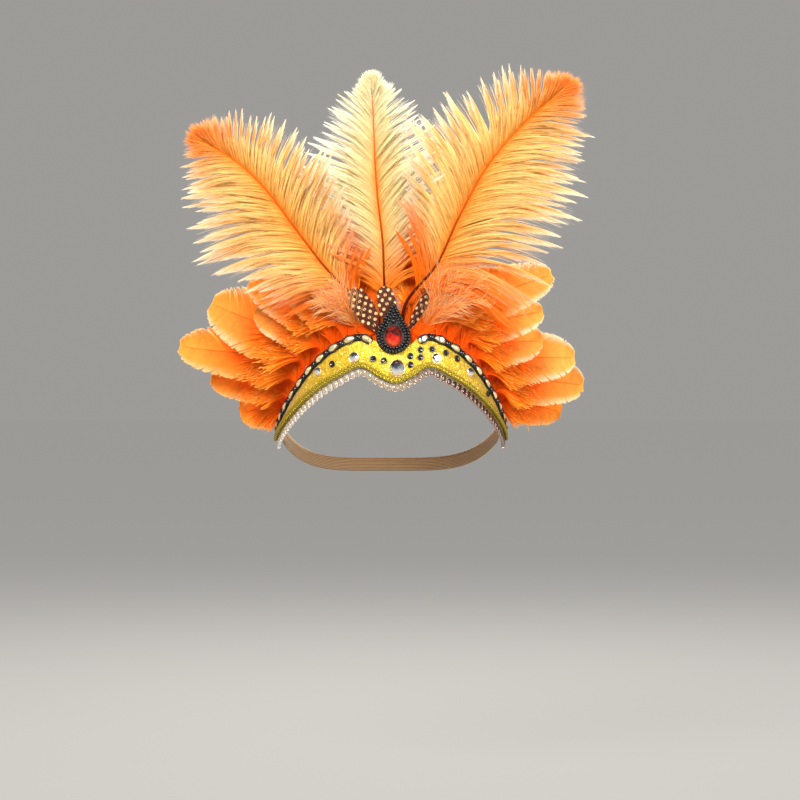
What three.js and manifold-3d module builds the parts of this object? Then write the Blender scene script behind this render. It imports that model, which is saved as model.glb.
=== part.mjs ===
// Carnival feather headdress: a crescent headband that dips to a point over the forehead, edged with
// braid, beads and stones, with a drop-shaped brooch before three ostrich plumes and a fan of broad feathers.
// Millimetres, +Z up. It is worn facing -Y, and the origin is the middle of the head opening, level with
// the two ends of the band.

import * as THREE from "three";
import { mergeVertices } from "three/addons/utils/BufferGeometryUtils.js";
import Module from "manifold-3d";

const wasm = await Module();
wasm.setup();

// Driving sizes
const GAP = 0.3;
const HEAD = { halfWidth: 78, halfLength: 95, sideLean: 0.06, frontLean: 0.16 };
const BAND = { wall: 2.4, crown: 0.9, fullCrownHeight: 8, endAngle: 88, steps: 36 };
const EDGE_BRAID = { height: 3.8, shareOfBand: 0.42, depth: 2.2, seam: 0.4 };
const RING_BRAID = { height: 5.6, shareOfBand: 0.46, seam: 0.4, pitch: 13.4, fromAngle: 12 };
const RING_FORMS = { sides: 10, radius: 2.6, oval: 2.3, stretch: 1.9, rise: 2, lift: 0.4 };
const FRINGE = { radius: 2.6, tall: 1.1, halfDepth: 1.4, pitch: 4.72, sides: 10, drop: 0.42 };
const BROOCH = { bottomRadius: 11.6, tipRadius: 1.7, tipRise: 20.5, plate: 2.2, bevel: 0.5, x: -1, z: 70.5 };
const BROOCH_SEAT = { z: 62, lift: 0.45, pocketFloor: 1 };
const BROOCH_BEADS = {
  radius: 1.6, rise: 1.5, sunk: 0.4, inset: 2, around: 13, step: 21.5, sides: 10,
  flankShares: [0.36, 0.58], axisShares: [0.47, 0.86],
};
const RED_STONE = { halfWidth: 5.8, halfHeight: 7.2, girdle: 1.2, crown: 2.8, table: 0.62, sides: 14 };
const STONE_CUT = { sides: 12, girdle: 0.25, table: 0.58 };
const SEQUIN = { radius: 2.2, rise: 0.9, sides: 12, lift: 0.4 };
const QUILL = { radius: 0.95, lift: 0.4, below: 10, shareOfBand: 0.7, above: 2.6 };
const VANE = { half: 0.55, edge: 0.4, shaft: 0.35, facingShare: 0.3, opening: 0.44, roundFrom: 0.62 };
const BEND = { start: 0.3, end: 0.32, fallShare: 0.6 };
const PLUME = { rootRadius: 1.5, tipRadius: 0.6, below: 12, above: 3, firstBarb: 0.3, barbSpan: 0.66 };
const BARB = { perSide: 9, stagger: 0.018, width: 10.2, half: 0.7, fullAt: 0.4 };
const BARB_TURN = { leave: 40, leaveClose: 0.5, leaveFace: 4, settle: 74, settleClose: 0.6, settleFace: 12 };
const WISP = { width: 4.2, half: 0.6, stem: 3, leaveShare: 0.45, leaveFace: 30, settleFace: 38 };
const STRAP = { width: 10, thick: 1.2, lift: 0.4, overlapAngle: 6, endShare: 0.86, backDrop: 20, steps: 30 };

// The band's edges on one half: degrees round from the front, height of the lower and the upper edge
const EDGE_ROWS = [
  { angle: 0, lower: 39.5, upper: 62.5 },
  { angle: 7, lower: 43.2, upper: 65.5 },
  { angle: 16, lower: 50, upper: 73 },
  { angle: 30, lower: 43, upper: 67.5 },
  { angle: 43, lower: 33.5, upper: 56 },
  { angle: 58, lower: 20.5, upper: 38.5 },
  { angle: 75, lower: 7, upper: 20 },
  { angle: 90, lower: -2, upper: 8.5 },
];

// Clear cut stones on the cloth: degrees round, height, radius, rise
const BAND_STONES = [
  { name: "centre_stone", angle: 1, z: 49.5, radius: 5, rise: 3.4, tall: 1.15 },
  { name: "band_stone_left_1", angle: -20.5, z: 57, radius: 3.45, rise: 2.2, tall: 1 },
  { name: "band_stone_left_2", angle: -41, z: 47.6, radius: 3, rise: 2, tall: 1 },
  { name: "band_stone_right_1", angle: 21, z: 56.4, radius: 3.45, rise: 2.2, tall: 1 },
  { name: "band_stone_right_2", angle: 41, z: 47.2, radius: 3, rise: 2, tall: 1 },
];

// Black cup sequins on the cloth: degrees round, height
const SEQUINS = [
  { angle: -10.8, z: 56 },
  { angle: -5.6, z: 54.6 },
  { angle: 7.4, z: 51.8 },
  { angle: 7.4, z: 57.6 },
  { angle: 12.4, z: 56.9 },
  { angle: 12.6, z: 62 },
  { angle: 18.5, z: 62.4 },
  { angle: 26, z: 60 },
  { angle: 32.5, z: 56.2 },
  { angle: -32, z: 52.6 },
  { angle: 54, z: 32.6 },
];

// Broad feathers: where the quill enters behind the band, the tip, and the half width
const BROAD_FEATHERS = [
  { name: "left_1", angle: -26, tip: [-73, -77, 113], half: 17, cup: 4, droop: 0.1, lean: 0, open: 0.1 },
  { name: "left_2", angle: -33, tip: [-97, -70, 110], half: 17, cup: 4, droop: 0.2, lean: 0, open: 0.06 },
  { name: "left_3", angle: -41, tip: [-95, -60, 87], half: 14, cup: 5, droop: 0.5, lean: 0, open: -0.02 },
  { name: "left_4", angle: -51, tip: [-125, -45, 95], half: 22, cup: 5, droop: 0.2, lean: 0, open: -0.02 },
  { name: "left_5", angle: -61, tip: [-148, -28, 66], half: 17, cup: 4, droop: 0.2, lean: 0, open: -0.02 },
  { name: "left_6", angle: -70, tip: [-127, -14, 44], half: 15, cup: 4, droop: 0.3, lean: 0, open: -0.02 },
  { name: "left_7", angle: -81, tip: [-107, -1, 19], half: 14, cup: 3, droop: 0.4, lean: 0, open: -0.02 },
  { name: "right_1", angle: 22.5, tip: [72, -79, 113], half: 15, cup: 4, droop: 0.1, lean: 0, open: 0.12 },
  { name: "right_2", angle: 29, tip: [107, -72, 114], half: 16, cup: 4, droop: 0.2, lean: 0, open: 0.06 },
  { name: "right_3", angle: 38, tip: [102, -62, 89], half: 14, cup: 4, droop: 0.3, lean: 0, open: -0.02 },
  { name: "right_4", angle: 47, tip: [103, -50, 69], half: 15, cup: 4, droop: 0.4, lean: 0, open: -0.02 },
  { name: "right_5", angle: 57, tip: [127, -34, 58], half: 17, cup: 5, droop: 0.3, lean: 0, open: -0.02 },
  { name: "right_6", angle: 67, tip: [135, -18, 39], half: 17, cup: 4, droop: 0.3, lean: 0, open: -0.02 },
  { name: "right_7", angle: 79, tip: [121, -3, 20], half: 14, cup: 3, droop: 0.4, lean: 0, open: -0.02 },
  { name: "back_1", angle: -15, tip: [-46, -44, 160], half: 16, cup: 3, droop: 0, lean: 0.8, open: 0.22 },
  { name: "back_2", angle: -9, tip: [-27, -66, 116], half: 11, cup: 3, droop: 0, lean: 0.5, open: 0.2 },
  { name: "back_3", angle: 9, tip: [17, -57, 158], half: 16, cup: 3, droop: 0, lean: 0.32, open: 0.2 },
  { name: "back_4", angle: 14.5, tip: [40, -44, 156], half: 16, cup: 3, droop: 0, lean: 0.8, open: 0.22 },
];

// Spotted feathers behind the brooch: foot, tip, half width, and how far each is turned on its own shaft
const GUINEA_FEATHERS = [
  { name: "left", foot: [-8, -84.3, 69], tip: [-29, -85, 103], half: 7.2, turn: 0 },
  { name: "centre", foot: [-1, -84.9, 70], tip: [-7.5, -79.6, 105], half: 6.4, turn: 0 },
  { name: "right", foot: [7, -83.6, 71], tip: [22, -85, 100], half: 4.2, turn: 35 },
];

// Ostrich plumes: the shaft's points in order above the band, and each side's barb length at the plume's
// foot, middle and tip
const OSTRICH_PLUMES = [
  {
    name: "left",
    angle: -4.5,
    shaft: [
      [-17, -79.5, 88], [-43, -82.5, 113], [-66, -87, 142],
      [-86, -92, 168], [-104, -98, 185], [-119, -105, 194],
    ],
    barbs: { left: [48, 76, 34], right: [34, 60, 34] },
  },
  {
    name: "centre",
    angle: 0,
    shaft: [
      [-6, -77, 96], [-8, -75, 136], [-11, -73, 162],
      [-13, -73, 188], [-14, -76, 212], [-15, -81, 231],
    ],
    barbs: { left: [40, 66, 26], right: [40, 66, 26] },
  },
  {
    name: "right",
    angle: 4.5,
    shaft: [
      [7, -79, 92], [28, -82.5, 119], [43, -87, 151],
      [62, -92, 185], [86, -98, 213], [102, -105, 227],
    ],
    barbs: { left: [42, 70, 34], right: [74, 80, 30] },
  },
];

// Marabou tufts: where the root lies behind the band, the spread of the wisps in degrees from upright
const MARABOU = [
  { name: "left", angle: -20.5, side: -1, wisps: 5, from: 46, to: 84, length: 46 },
  { name: "right", angle: 18, side: 1, wisps: 5, from: 24, to: 80, length: 52 },
];

// Colours
const cloth = material(0xd9bd22, 0.7, 0);
const oliveGold = material(0x8c7a1c, 0.45, 0.5);
const gold = material(0xcaa53a, 0.35, 0.8);
const clear = material(0xdfe3e2, 0.08, 0);
const black = material(0x101012, 0.3, 0);
const red = material(0xb01408, 0.06, 0);
const orange = material(0xf2700f, 0.65, 0);
const plume = material(0xffa640, 0.75, 0);
const coral = material(0xff8a3c, 0.8, 0);
const spotted = material(0x3a1508, 0.6, 0);
const elastic = material(0xc7a877, 0.8, 0);

function material(color, roughness, metalness) {
  return new THREE.MeshStandardMaterial({ color, roughness, metalness });
}

// Joining and cutting
function toSolid(geometry) {
  const bare = new THREE.BufferGeometry();
  bare.setAttribute("position", geometry.getAttribute("position"));
  bare.setIndex(geometry.getIndex());
  const merged = mergeVertices(bare, 1e-4);
  const triVerts = Uint32Array.from(merged.getIndex().array);
  const mesh = new wasm.Mesh({ numProp: 3, vertProperties: merged.getAttribute("position").array, triVerts });
  mesh.merge();
  return new wasm.Manifold(mesh);
}

function toGeometry(solid) {
  const mesh = solid.getMesh();
  const geometry = new THREE.BufferGeometry();
  geometry.setAttribute("position", new THREE.BufferAttribute(mesh.vertProperties, 3));
  geometry.setIndex(new THREE.BufferAttribute(mesh.triVerts, 1));
  geometry.computeVertexNormals();
  return geometry;
}

function fuse(geometries) {
  return toGeometry(wasm.Manifold.union(geometries.map(toSolid)));
}

function cut(body, tool) {
  return toGeometry(toSolid(body).subtract(toSolid(tool)));
}

// A closed body through rings of points. Each ring runs along one face and back along the other, so the
// two end caps are strips between the faces.
function loft(rings) {
  const count = rings[0].length;
  const positions = rings.flat().flatMap((point) => [point.x, point.y, point.z]);
  const index = [];
  for (let ring = 0; ring + 1 < rings.length; ring += 1) {
    for (let side = 0; side < count; side += 1) {
      const a = ring * count + side;
      const b = ring * count + ((side + 1) % count);
      index.push(a, b, a + count, b, b + count, a + count);
    }
  }
  const last = (rings.length - 1) * count;
  for (let side = 0; side + 1 < count / 2; side += 1) {
    const back = count - 1 - side;
    index.push(side, back, side + 1, side + 1, back, back - 1);
    index.push(last + side, last + side + 1, last + back, last + side + 1, last + back - 1, last + back);
  }
  const geometry = new THREE.BufferGeometry();
  geometry.setAttribute("position", new THREE.Float32BufferAttribute(positions, 3));
  geometry.setIndex(signedVolume(positions, index) < 0 ? index.reverse() : index);
  return geometry;
}

function signedVolume(positions, index) {
  let total = 0;
  for (let i = 0; i < index.length; i += 3) {
    const [a, b, c] = [0, 1, 2].map((k) => new THREE.Vector3().fromArray(positions, 3 * index[i + k]));
    total += a.dot(b.cross(c));
  }
  return total;
}

function vector(values) {
  return new THREE.Vector3(...values);
}

// The head ring: a point at an angle round from the front, at a height, some way out from the inner wall
function headPoint(angle, z, out) {
  const turn = THREE.MathUtils.degToRad(angle);
  const halfWidth = HEAD.halfWidth - HEAD.sideLean * z;
  const halfLength = HEAD.halfLength - HEAD.frontLean * z;
  const point = new THREE.Vector3(halfWidth * Math.sin(turn), -halfLength * Math.cos(turn), z);
  const normal = new THREE.Vector3(Math.sin(turn) / halfWidth, -Math.cos(turn) / halfLength, 0).normalize();
  return point.addScaledVector(normal, out);
}

function edgeCurve(key) {
  const angles = EDGE_ROWS.map((row) => row.angle);
  const heights = EDGE_ROWS.map((row) => row[key]);
  const curve = new THREE.CubicInterpolant(angles, heights, 1);
  curve.settings = { endingStart: THREE.ZeroSlopeEnding, endingEnd: THREE.ZeroCurvatureEnding };
  return (angle) => curve.evaluate(Math.abs(angle))[0];
}

const lowerEdge = edgeCurve("lower");
const upperEdge = edgeCurve("upper");
const bandHeight = (angle) => upperEdge(angle) - lowerEdge(angle);
const edgeBraidHeight = (angle) => Math.min(EDGE_BRAID.height, EDGE_BRAID.shareOfBand * bandHeight(angle));
const ringBraidHeight = (angle) => Math.min(RING_BRAID.height, RING_BRAID.shareOfBand * bandHeight(angle));

// The open cloth between the two braids, which swells a little in the middle
function bandField(angle) {
  const low = lowerEdge(angle) + edgeBraidHeight(angle) + EDGE_BRAID.seam;
  const high = upperEdge(angle) - ringBraidHeight(angle) - RING_BRAID.seam;
  const crown = BAND.crown * THREE.MathUtils.clamp((high - low) / BAND.fullCrownHeight, 0, 1);
  return { low, high, crown, middle: (low + high) / 2 };
}

function sweepAngles(from, to, steps) {
  return Array.from({ length: steps + 1 }, (_, i) => from + ((to - from) * i) / steps);
}

// Angles at equal distances along a path, each a place between two samples of the path
function spacedAngles(pathPoint, from, to, pitch) {
  const angles = sweepAngles(from, to, 200);
  const points = angles.map(pathPoint);
  const lengths = [0];
  points.slice(1).forEach((point, i) => lengths.push(lengths[i] + point.distanceTo(points[i])));
  const total = lengths[lengths.length - 1];
  const count = Math.ceil(total / pitch);
  const angleAt = new THREE.LinearInterpolant(lengths, angles, 1);
  return Array.from({ length: count }, (_, i) => angleAt.evaluate((total * (i + 0.5)) / count)[0]);
}

// A frame standing on the band's face: x back along the edge, y out from the head, z up the wall
function bandFrame(angle, height, out) {
  const ahead = headPoint(angle + 0.5, height(angle + 0.5), out);
  const along = ahead.sub(headPoint(angle - 0.5, height(angle - 0.5), out));
  const up = headPoint(angle, height(angle) + 1, out).sub(headPoint(angle, height(angle) - 1, out));
  const outward = new THREE.Vector3().crossVectors(along, up).normalize();
  const x = along.negate().normalize();
  const z = new THREE.Vector3().crossVectors(x, outward);
  return new THREE.Matrix4().makeBasis(x, outward, z).setPosition(headPoint(angle, height(angle), out));
}

// Turned forms that stand on a face: the lathe's axis is the way out from the band
function turned(profile, sides) {
  return new THREE.LatheGeometry(profile.map(([r, y]) => new THREE.Vector2(r, y)), sides);
}

function headband() {
  const rings = sweepAngles(-BAND.endAngle, BAND.endAngle, BAND.steps).map((angle) => {
    const { low, high, crown, middle } = bandField(angle);
    const section = [[lowerEdge(angle), 0], [low, 0], [middle, crown], [high, 0], [upperEdge(angle), 0]];
    const face = section.map(([z, rise]) => headPoint(angle, z, BAND.wall + rise));
    const back = section.map(([z]) => headPoint(angle, z, 0)).reverse();
    return [...face, ...back];
  });
  return loft(rings);
}

// How far out the cloth's face lies at a place between the braids
function bandSkin(angle, z) {
  const { high, crown, middle } = bandField(angle);
  const reach = 1 - Math.abs(z - middle) / (high - middle);
  return BAND.wall + crown * THREE.MathUtils.clamp(reach, 0, 1);
}

// A cord with a rounded face along the lower edge
function edgeBraid() {
  const rings = sweepAngles(-BAND.endAngle, BAND.endAngle, BAND.steps).map((angle) => {
    const low = lowerEdge(angle);
    const height = edgeBraidHeight(angle);
    const back = BAND.wall + GAP;
    const section = [[0.1, 0.35], [0.28, 1], [0.72, 1], [0.9, 0.35], [0.9, 0], [0.1, 0]];
    return section.map(([up, out]) => headPoint(angle, low + up * height, back + out * EDGE_BRAID.depth));
  });
  return loft(rings);
}

// Gold ovals and black rings that meet in a row along the upper edge
function ringBraid(side) {
  const middle = (angle) => upperEdge(angle) - 0.5 * ringBraidHeight(angle);
  const frame = (angle) => bandFrame(angle, middle, BAND.wall + RING_FORMS.lift);
  const place = (angle) => new THREE.Vector3().setFromMatrixPosition(frame(angle));
  const { sides, radius, oval, stretch, rise } = RING_FORMS;
  const angles = spacedAngles(place, side * RING_BRAID.fromAngle, side * BAND.endAngle, RING_BRAID.pitch / 2);
  const linkProfile = [[0, 0], [oval, 0], [0.7 * oval, 0.8 * rise], [0, 0.8 * rise]];
  const ringProfile = [[0, 0], [radius, 0], [0, rise]];
  const pieces = angles.map((angle, i) => {
    const isLink = i % 2 === 1;
    const form = turned(isLink ? linkProfile : ringProfile, sides).scale(isLink ? stretch : 1, 1, 1);
    return form.applyMatrix4(frame(angle));
  });
  return fuse(pieces);
}

// Flat cut beads hanging side by side under the lower edge
function beadFringe() {
  const { radius, tall, halfDepth, sides } = FRINGE;
  const drop = new THREE.Vector3(0, 0, -FRINGE.drop - tall * radius);
  const frame = (angle) => bandFrame(angle, lowerEdge, 0.5 * BAND.wall);
  const place = (angle) => drop.clone().applyMatrix4(frame(angle));
  const pieces = spacedAngles(place, -BAND.endAngle, BAND.endAngle, FRINGE.pitch).map((angle) => {
    const bead = turned([[0, -halfDepth], [radius, 0], [0, halfDepth]], sides).scale(1, 1, tall);
    return bead.translate(drop.x, drop.y, drop.z).applyMatrix4(frame(angle));
  });
  return fuse(pieces);
}

// Cut stones have a flat back, so a wide one stands off the curved cloth a little more
function bandStone({ angle, z, radius, rise, tall }) {
  const { sides, girdle, table } = STONE_CUT;
  const profile = [[0, 0], [radius, 0], [radius, girdle * rise], [table * radius, rise], [0, rise]];
  const curveRise = (radius * radius) / (2 * HEAD.halfWidth);
  const skin = bandSkin(angle, z) + curveRise + 1.5 * GAP;
  return turned(profile, sides).scale(1, 1, tall).applyMatrix4(bandFrame(angle, () => z, skin));
}

function sequin({ angle, z }) {
  const cup = turned([[0, 0], [SEQUIN.radius, 0], [0, SEQUIN.rise]], SEQUIN.sides);
  return cup.applyMatrix4(bandFrame(angle, () => z, bandSkin(angle, z) + SEQUIN.lift));
}

// The brooch is drawn flat with its foot down and facing +Z, and is then turned to face -Y
const broochSlope = Math.asin((BROOCH.bottomRadius - BROOCH.tipRadius) / BROOCH.tipRise);

function dropOutline(inset) {
  const shape = new THREE.Shape();
  shape.absarc(0, 0, BROOCH.bottomRadius - inset, Math.PI - broochSlope, broochSlope, false);
  shape.absarc(0, BROOCH.tipRise, BROOCH.tipRadius - inset, broochSlope, Math.PI - broochSlope, false);
  return shape;
}

function broochSetting() {
  const { plate, bevel, tipRise } = BROOCH;
  const rim = { bevelEnabled: true, bevelSize: bevel, bevelThickness: bevel, bevelSegments: 1 };
  const slab = { depth: plate - 2 * bevel, curveSegments: 9, ...rim };
  const base = new THREE.ExtrudeGeometry(dropOutline(bevel), slab);
  const pieces = [base.translate(0, 0, bevel)];
  const ring = BROOCH.bottomRadius - BROOCH_BEADS.inset;
  for (let i = 0; i < BROOCH_BEADS.around; i += 1) {
    const turn = THREE.MathUtils.degToRad(-90 + (i - (BROOCH_BEADS.around - 1) / 2) * BROOCH_BEADS.step);
    pieces.push(settingBead(ring * Math.cos(turn), ring * Math.sin(turn)));
  }
  for (const far of BROOCH_BEADS.flankShares) {
    const reach = THREE.MathUtils.lerp(ring - 0.3, 0.4, far);
    const y = tipRise * far + reach * Math.sin(broochSlope);
    pieces.push(settingBead(-reach * Math.cos(broochSlope), y));
    pieces.push(settingBead(reach * Math.cos(broochSlope), y));
  }
  BROOCH_BEADS.axisShares.forEach((far) => pieces.push(settingBead(0, far * tipRise)));
  const { pocketFloor } = BROOCH_SEAT;
  const deep = 4 * plate;
  const pocket = turned([[0, pocketFloor], [1, pocketFloor], [1, deep], [0, deep]], 20).rotateX(Math.PI / 2);
  pocket.scale(RED_STONE.halfWidth + GAP, RED_STONE.halfHeight + GAP, 1);
  return cut(fuse(pieces), pocket).rotateX(Math.PI / 2);
}

function settingBead(x, y) {
  const { radius, rise, sunk, sides } = BROOCH_BEADS;
  const bead = turned([[0, -sunk], [radius, -sunk], [0, rise]], sides);
  return bead.rotateX(Math.PI / 2).translate(x, y, BROOCH.plate);
}

function broochStone() {
  const { halfWidth, halfHeight, girdle, crown, table, sides } = RED_STONE;
  const back = BROOCH_SEAT.pocketFloor + GAP;
  const top = back + girdle + crown;
  const stone = turned([[0, back], [1, back], [1, back + girdle], [table, top], [0, top]], sides);
  return stone.rotateX(Math.PI / 2).scale(halfWidth, halfHeight, 1).rotateX(Math.PI / 2);
}

// A frame at a point of a shaft: across the vane, and the way the vane faces
function vaneFrame(tangent, turn, facing = 0) {
  const way = THREE.MathUtils.degToRad(facing);
  const face = new THREE.Vector3(Math.sin(way), -Math.cos(way), 0);
  face.addScaledVector(tangent, -face.dot(tangent)).normalize();
  face.applyAxisAngle(tangent, THREE.MathUtils.degToRad(turn));
  const across = new THREE.Vector3().crossVectors(tangent, face).normalize();
  return { face, across };
}

// One feather in one loft: a round quill, then a cupped vane with its shaft along the middle
function featherLoft(stations, cup, turn, facing) {
  const places = [-1, -0.55, 0, 0.55, 1];
  const rings = stations.map(({ point, tangent, half }) => {
    const { face, across } = vaneFrame(tangent, turn, facing);
    const isQuill = half <= QUILL.radius;
    const row = (sign) => places.map((place) => {
      const bend = isQuill ? 0 : (cup * place * place * half) / 16;
      const thick = isQuill ? QUILL.radius * Math.sqrt(1.15 - place * place) : vaneThickness(place);
      const out = point.clone().addScaledVector(across, place * half);
      return out.addScaledVector(face, bend + sign * thick);
    });
    return [...row(1), ...row(-1).reverse()];
  });
  return loft(rings);
}

function vaneThickness(place) {
  return VANE.edge + (VANE.half - VANE.edge) * (1 - Math.abs(place)) + (place === 0 ? VANE.shaft : 0);
}

// The share of the full width at a place along the vane: it opens like a sine and ends as half an ellipse
function roundedWidth(s, open) {
  const opening = THREE.MathUtils.clamp((s - open) / VANE.opening, 0.06, 1);
  const past = Math.max(0, s - VANE.roundFrom) / (1.01 - VANE.roundFrom);
  return Math.sin((Math.PI / 2) * opening) * Math.sqrt(Math.max(0.03, 1 - past * past));
}

// The two ends of a quill that runs up the inner face of the band and clears the edge
function quillEnds(angle, radius, below, above) {
  const inside = -(radius + QUILL.lift);
  const depth = Math.min(below, QUILL.shareOfBand * bandHeight(angle));
  return [-depth, above].map((rise) => headPoint(angle, upperEdge(angle) + rise, inside));
}

// Above the edge the shaft bends over to its tip, and the vane opens out along it
function broadFeather(row) {
  const [root, clear] = quillEnds(row.angle, QUILL.radius, QUILL.below, QUILL.above);
  const tip = vector(row.tip);
  const reach = clear.distanceTo(tip);
  const rise = clear.clone().sub(root).normalize();
  const climb = rise.clone().add(new THREE.Vector3(0, row.lean, 0)).normalize();
  const run = tip.clone().sub(clear).normalize();
  const fall = run.add(new THREE.Vector3(0, -row.droop, -BEND.fallShare * row.droop)).normalize();
  const start = clear.clone().addScaledVector(climb, BEND.start * reach);
  const end = tip.clone().addScaledVector(fall, -BEND.end * reach);
  const curve = new THREE.CubicBezierCurve3(clear, start, end, tip);
  const stations = [{ point: root, tangent: rise, half: QUILL.radius }];
  for (const s of [0, 0.15, 0.4, 0.66, 0.9, 1]) {
    const half = s === 0 ? QUILL.radius : row.half * roundedWidth(s, row.open);
    stations.push({ point: curve.getPoint(s), tangent: curve.getTangent(s), half });
  }
  return featherLoft(stations, row.cup, 0, VANE.facingShare * row.angle);
}

function guineaFeather(row) {
  const foot = vector(row.foot);
  const tip = vector(row.tip);
  const tangent = tip.clone().sub(foot).normalize();
  const widths = [[0, 0.12], [0.2, 0.36], [0.45, 0.9], [0.7, 1], [0.92, 0.76], [1, 0.2]];
  const stations = widths.map(([s, width]) => ({
    point: foot.clone().lerp(tip, s),
    tangent,
    half: Math.max(row.half * width, 0.9),
  }));
  return featherLoft(stations, 2, row.turn, 0);
}

// A flat tapering lock from a shaft point: it leaves at one angle and bends toward another
function lock(point, leave, settle, face, length, width, half) {
  const middle = point.clone().addScaledVector(leave, 0.5 * length);
  const end = middle.clone().addScaledVector(settle, 0.5 * length);
  const curve = new THREE.QuadraticBezierCurve3(point, middle, end);
  const rings = [[0, 0.18], [0.55, 1], [1, 0.14]].map(([t, size]) => {
    const tangent = curve.getTangent(t);
    const across = new THREE.Vector3().crossVectors(tangent, face).normalize();
    const out = new THREE.Vector3().crossVectors(across, tangent).normalize();
    return squareRing(curve.getPoint(t), across, out, 0.5 * size * width, half);
  });
  return loft(rings);
}

// Four corners round a point
function squareRing(point, across, out, halfWidth, halfDepth) {
  const corner = (u, v) => {
    return point.clone().addScaledVector(across, u * halfWidth).addScaledVector(out, v * halfDepth);
  };
  return [corner(-1, 1), corner(1, 1), corner(1, -1), corner(-1, -1)];
}

// A rod through points, with one radius for each, square across so that locks leave its flat sides
function rod(points, radii) {
  const rings = points.map(({ point, tangent }, i) => {
    const { face, across } = vaneFrame(tangent, 0);
    return squareRing(point, across, face, radii[i], radii[i]);
  });
  return loft(rings);
}

function barbLength([foot, middle, tip], s) {
  const { lerp } = THREE.MathUtils;
  const { fullAt } = BARB;
  return s < fullAt ? lerp(foot, middle, s / fullAt) : lerp(middle, tip, (s - fullAt) / (1 - fullAt));
}

// A shaft that rises behind the band, with flat locks of barbs on both sides that close in toward the tip
function ostrichPlume(row) {
  const foot = quillEnds(row.angle, PLUME.rootRadius, PLUME.below, PLUME.above);
  const curve = new THREE.CatmullRomCurve3([...foot, ...row.shaft.map(vector)], false, "centripetal");
  const along = sweepAngles(0, 1, 11);
  const points = along.map((u) => ({ point: curve.getPointAt(u), tangent: curve.getTangentAt(u) }));
  const radii = along.map((u) => 0.85 * THREE.MathUtils.lerp(PLUME.rootRadius, PLUME.tipRadius, u));
  const pieces = [rod(points, radii)];
  for (const side of [-1, 1]) {
    for (let i = 0; i < BARB.perSide; i += 1) {
      const s = i / (BARB.perSide - 1);
      const u = PLUME.firstBarb + PLUME.barbSpan * s + (side > 0 ? BARB.stagger : 0);
      const tangent = curve.getTangentAt(u);
      const { face, across } = vaneFrame(tangent, 0);
      const leaveAngle = side * BARB_TURN.leave * (1 - BARB_TURN.leaveClose * s ** 4);
      const settleAngle = side * BARB_TURN.settle * (1 - BARB_TURN.settleClose * s ** 4);
      const leave = turnedFrom(tangent, across, face, leaveAngle, BARB_TURN.leaveFace);
      const settle = turnedFrom(tangent, across, face, settleAngle, BARB_TURN.settleFace);
      const length = barbLength(side < 0 ? row.barbs.left : row.barbs.right, s);
      pieces.push(lock(curve.getPointAt(u), leave, settle, face, length, BARB.width, BARB.half));
    }
  }
  return fuse(pieces);
}

// A direction turned off the shaft by one angle in the vane and by another toward the way it faces
function turnedFrom(tangent, across, face, inVane, toFace) {
  const a = THREE.MathUtils.degToRad(inVane);
  const b = THREE.MathUtils.degToRad(toFace);
  const flat = tangent.clone().multiplyScalar(Math.cos(a)).addScaledVector(across, Math.sin(a));
  return flat.multiplyScalar(Math.cos(b)).addScaledVector(face, Math.sin(b)).normalize();
}

// A short quill behind the band with soft locks that fan out sideways and forward over the edge
function marabouTuft(row) {
  const [root, clear] = quillEnds(row.angle, QUILL.radius, QUILL.below, QUILL.above);
  const up = clear.clone().sub(root).normalize();
  const head = clear.clone().addScaledVector(up, WISP.stem);
  const points = [root, clear, head].map((point) => ({ point, tangent: up }));
  const pieces = [rod(points, [0.8, 0.8, 0.5].map((size) => size * QUILL.radius))];
  const right = new THREE.Vector3(1, 0, 0);
  const front = new THREE.Vector3(0, -1, 0);
  for (let i = 0; i < row.wisps; i += 1) {
    const share = i / (row.wisps - 1);
    const spread = row.side * THREE.MathUtils.lerp(row.from, row.to, share);
    const leave = turnedFrom(up, right, front, WISP.leaveShare * spread, WISP.leaveFace);
    const settle = turnedFrom(up, right, front, spread, WISP.settleFace);
    const length = row.length * (0.78 + 0.22 * Math.sin(2.4 * i));
    const from = head.clone().addScaledVector(up, -1 - WISP.stem * share);
    pieces.push(lock(from, leave, settle, front, length, WISP.width, WISP.half));
  }
  return fuse(pieces);
}

// A flat elastic that lies inside both ends of the band and passes behind the head
function elasticStrap() {
  const start = BAND.endAngle - STRAP.overlapAngle;
  const seamAngle = BAND.endAngle - STRAP.overlapAngle / 2;
  const seam = (lowerEdge(seamAngle) + upperEdge(seamAngle)) / 2;
  const { lerp, smoothstep, degToRad } = THREE.MathUtils;
  const rings = sweepAngles(start, 360 - start, STRAP.steps).map((angle) => {
    const behind = -Math.cos(degToRad(angle));
    const middle = lerp(seam, -STRAP.backDrop, smoothstep(behind, -0.1, 1));
    const half = 0.5 * STRAP.width * lerp(STRAP.endShare, 1, smoothstep(behind, 0, 0.3));
    const section = [[half, 0], [-half, 0], [-half, -STRAP.thick], [half, -STRAP.thick]];
    return section.map(([up, out]) => headPoint(angle, middle + up, out - STRAP.lift));
  });
  return loft(rings);
}

// The assembly
const headdress = new THREE.Group();
headdress.name = "carnival_feather_headdress";

function add(name, geometry, finish, parent = headdress) {
  const mesh = new THREE.Mesh(geometry, finish);
  mesh.name = name;
  parent.add(mesh);
  return mesh;
}

add("headband", headband(), cloth);
add("edge_braid", edgeBraid(), oliveGold);
add("ring_braid_left", ringBraid(-1), gold);
add("ring_braid_right", ringBraid(1), gold);
add("bead_fringe", beadFringe(), clear);
BAND_STONES.forEach((row) => add(row.name, bandStone(row), clear));
SEQUINS.forEach((row, i) => add(`sequin_${i + 1}`, sequin(row), black));

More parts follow.
